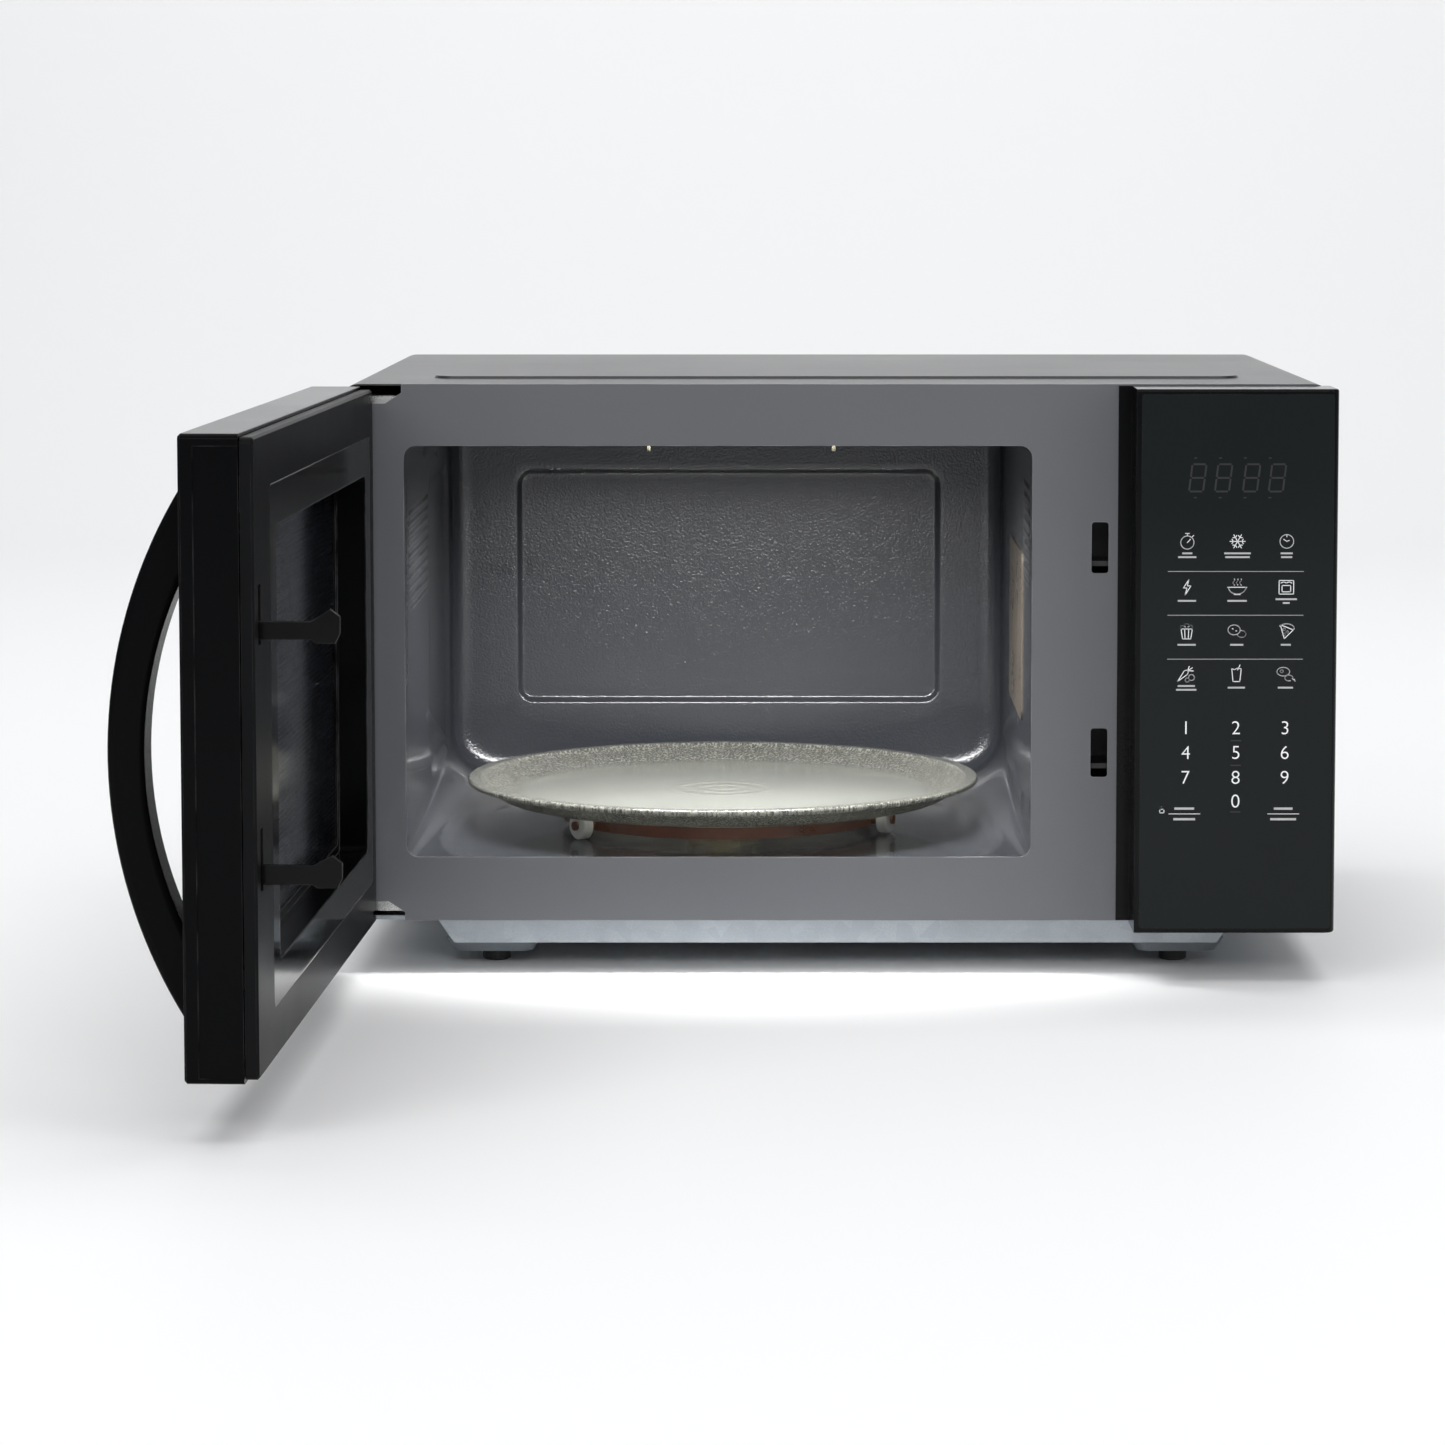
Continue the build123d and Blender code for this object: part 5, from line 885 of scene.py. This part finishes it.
# The unlit display: four slanted seven-segment digits and rows of dots, barely lighter than the glass.
segments = [[(-2.5, 6.6), (2.5, 6.6)], [(-2.5, 0), (2.5, 0)], [(-2.5, -6.6), (2.5, -6.6)]]
segments += [[(x, z0), (x, z1)] for x in (-3.4, 3.4) for z0, z1 in ((0.9, 5.7), (-5.7, -0.9))]
for number, x in enumerate((0.1745, 0.1870, 0.2005, 0.2130)):
    leaned = [[(a + 0.12 * b, b) for a, b in segment] for segment in segments]
    printed(f"display_digit_{number}", leaned, (x, DISPLAY_Z), MILLIMETRE, 0.0009, print_faint)
dots = [[(x, z), (x + 0.8, z)] for x in (-21, -9, 3, 15) for z in (-9.6, 9.6)]
printed("display_dots", dots, (KEY_X[1], DISPLAY_Z), MILLIMETRE, 0.0006, print_faint)

# ================================================================ door
# Gloss black moulded frame with a dark glass front and bow handle; inside it a satin dark steel
# plate, a stepped gloss choke cover, a clear film and the perforated screen.
# The lighter edge colour of the door frame and handle is a painted highlight; the softened edges come from a
# rounded normal.
door_gloss = grained(
    "door_gloss", (0.0030, 0.0031, 0.0034), (0.0040, 0.0042, 0.0046), patch=8.0, grain=900.0,
    rough=0.16, spread=0.05, relief=0.05, wear_and_highlight_width=0.0005, worn_and_highlight_colour=(0.045, 0.045, 0.047), specular=0.03,
    soften=0.0008,
)
finish_nodes(door_gloss, "door_frame", "handle")
# The cover's lighter edge colour is a painted highlight that outlines its steps.
choke_gloss = grained(
    "choke_gloss", (0.002, 0.0021, 0.0023), (0.003, 0.0031, 0.0034), patch=9.0, grain=420.0, rough=0.09,
    spread=0.04, relief=0.09, depth=0.0004, specular=0.04, soften=0.0014, wear_and_highlight_width=0.0007,
    worn_and_highlight_colour=(0.10, 0.10, 0.105),
)
finish_nodes(choke_gloss, "choke_cover")
front_glass = grained(
    "front_glass", (0.003, 0.0036, 0.004), (0.0042, 0.0048, 0.0052), patch=6.0, grain=500.0, rough=0.05,
    spread=0.03, relief=0.01, specular=0.35,
)
finish_nodes(front_glass, "door_front_glass")
# The plate's lighter edge colour is a painted highlight along its edges.
plate_enamel = grained(
    "plate_enamel", (0.0065, 0.0068, 0.0072), (0.009, 0.0093, 0.0098), patch=7.0, grain=1400.0,
    rough=0.34, spread=0.1, relief=0.16, specular=0.03, wear_and_highlight_width=0.0006, worn_and_highlight_colour=(0.035, 0.035, 0.036),
)
finish_nodes(plate_enamel, "door_inner_panel")
# The hooks' lighter edge colour is a painted highlight along their edges.
hook_plastic = grained(
    "hook_plastic", (0.003, 0.003, 0.0032), (0.005, 0.005, 0.0054), patch=60.0, grain=1500.0,
    rough=0.15, spread=0.08, relief=0.08, wear_and_highlight_width=0.0005, worn_and_highlight_colour=(0.07, 0.07, 0.072), specular=0.1,
    soften=0.0007,
)
finish_nodes(hook_plastic, "latch_hooks")
film_clear, tree, shader, height = clear_glass(
    "film_clear", (0.80, 0.82, 0.86), (0.74, 0.76, 0.80), 0.04, 0.03
)
shader.inputs["IOR"].default_value = 1.1
bump(tree, shader, height, 0.08, 0.0004)
finish_nodes(film_clear, "window_film")

# Perforated screen: hexagonal cells of one pitch, each web a ring of six quads round its hole.  Its
# sizes run along the open door from the hinge's axis, then up; SCREEN_V is its depth in the door.
DOOR_TURN = radians(-91.85)
door_along = np.array([cos(DOOR_TURN), sin(DOOR_TURN)])
door_inward = np.array([-sin(DOOR_TURN), cos(DOOR_TURN)])
HINGE = np.array([-0.2365, -0.1835])
SCREEN_V = -0.0062
SCREEN = (0.012, 0.331, 0.0516, 0.2624)
HOLES = (0.028, 0.315, 0.0675, 0.2465)
PITCH = 0.0027
CELL_RADIUS = PITCH / 3 ** 0.5
HOLE_RADIUS = PITCH * 0.38
row_rise = PITCH * 3 ** 0.5 / 2
rows, columns = int((HOLES[3] - HOLES[2]) / row_rise), int((HOLES[1] - HOLES[0]) / PITCH)
row, column = np.meshgrid(np.arange(rows), np.arange(columns), indexing="ij")
cell_u = HOLES[0] + (column + 0.5 + 0.5 * (row % 2)).reshape(-1, 1) * PITCH
cell_z = HOLES[2] + (row + 0.5).reshape(-1, 1) * row_rise
radii = np.repeat([CELL_RADIUS, HOLE_RADIUS], 6)
turns = np.tile(np.arange(6) * pi / 3 + pi / 6, 2)
web_spots = np.stack([cell_u + radii * np.cos(turns), cell_z + radii * np.sin(turns)], axis=-1).reshape(-1, 2)
here = np.arange(6)
beside = (here + 1) % 6
web = np.stack([here, beside, beside + 6, here + 6], axis=-1)
web_faces = (12 * np.arange(rows * columns)[:, None, None] + web).reshape(-1, 4)
margins = np.array([
    (SCREEN[0], HOLES[0], SCREEN[2], SCREEN[3]), (HOLES[1], SCREEN[1], SCREEN[2], SCREEN[3]),
    (HOLES[0], HOLES[1], SCREEN[2], HOLES[2]), (HOLES[0], HOLES[1], HOLES[3], SCREEN[3]),
])
margin_spots = margins[:, [[0, 2], [1, 2], [1, 3], [0, 3]]].reshape(-1, 2)
margin_faces = len(web_spots) + np.arange(len(margin_spots)).reshape(-1, 4)
spots = np.concatenate([web_spots, margin_spots])
flat_spots = HINGE + spots[:, :1] * door_along + SCREEN_V * door_inward
screen_spots = np.column_stack([flat_spots, spots[:, 1]])
screen_faces = np.concatenate([web_faces, margin_faces])
screen = mesh_object("screen_mesh", screen_spots, screen_faces, smooth=False)
screen_enamel = grained(
    "screen_enamel", (0.016, 0.019, 0.026), (0.024, 0.028, 0.036), patch=30.0, grain=1500.0, rough=0.3,
    spread=0.12, specular=0.3,
)
screen.data.materials.append(screen_enamel)
finish_nodes(screen_enamel, "door_screen")
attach(screen, "door")
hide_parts("door_screen")

# ================================================================ sizes of the imported model and of the scene
size = {
    "cad": [list(cad_low), list(cad_high)],
    "visual": [list(corner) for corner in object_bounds()],
}
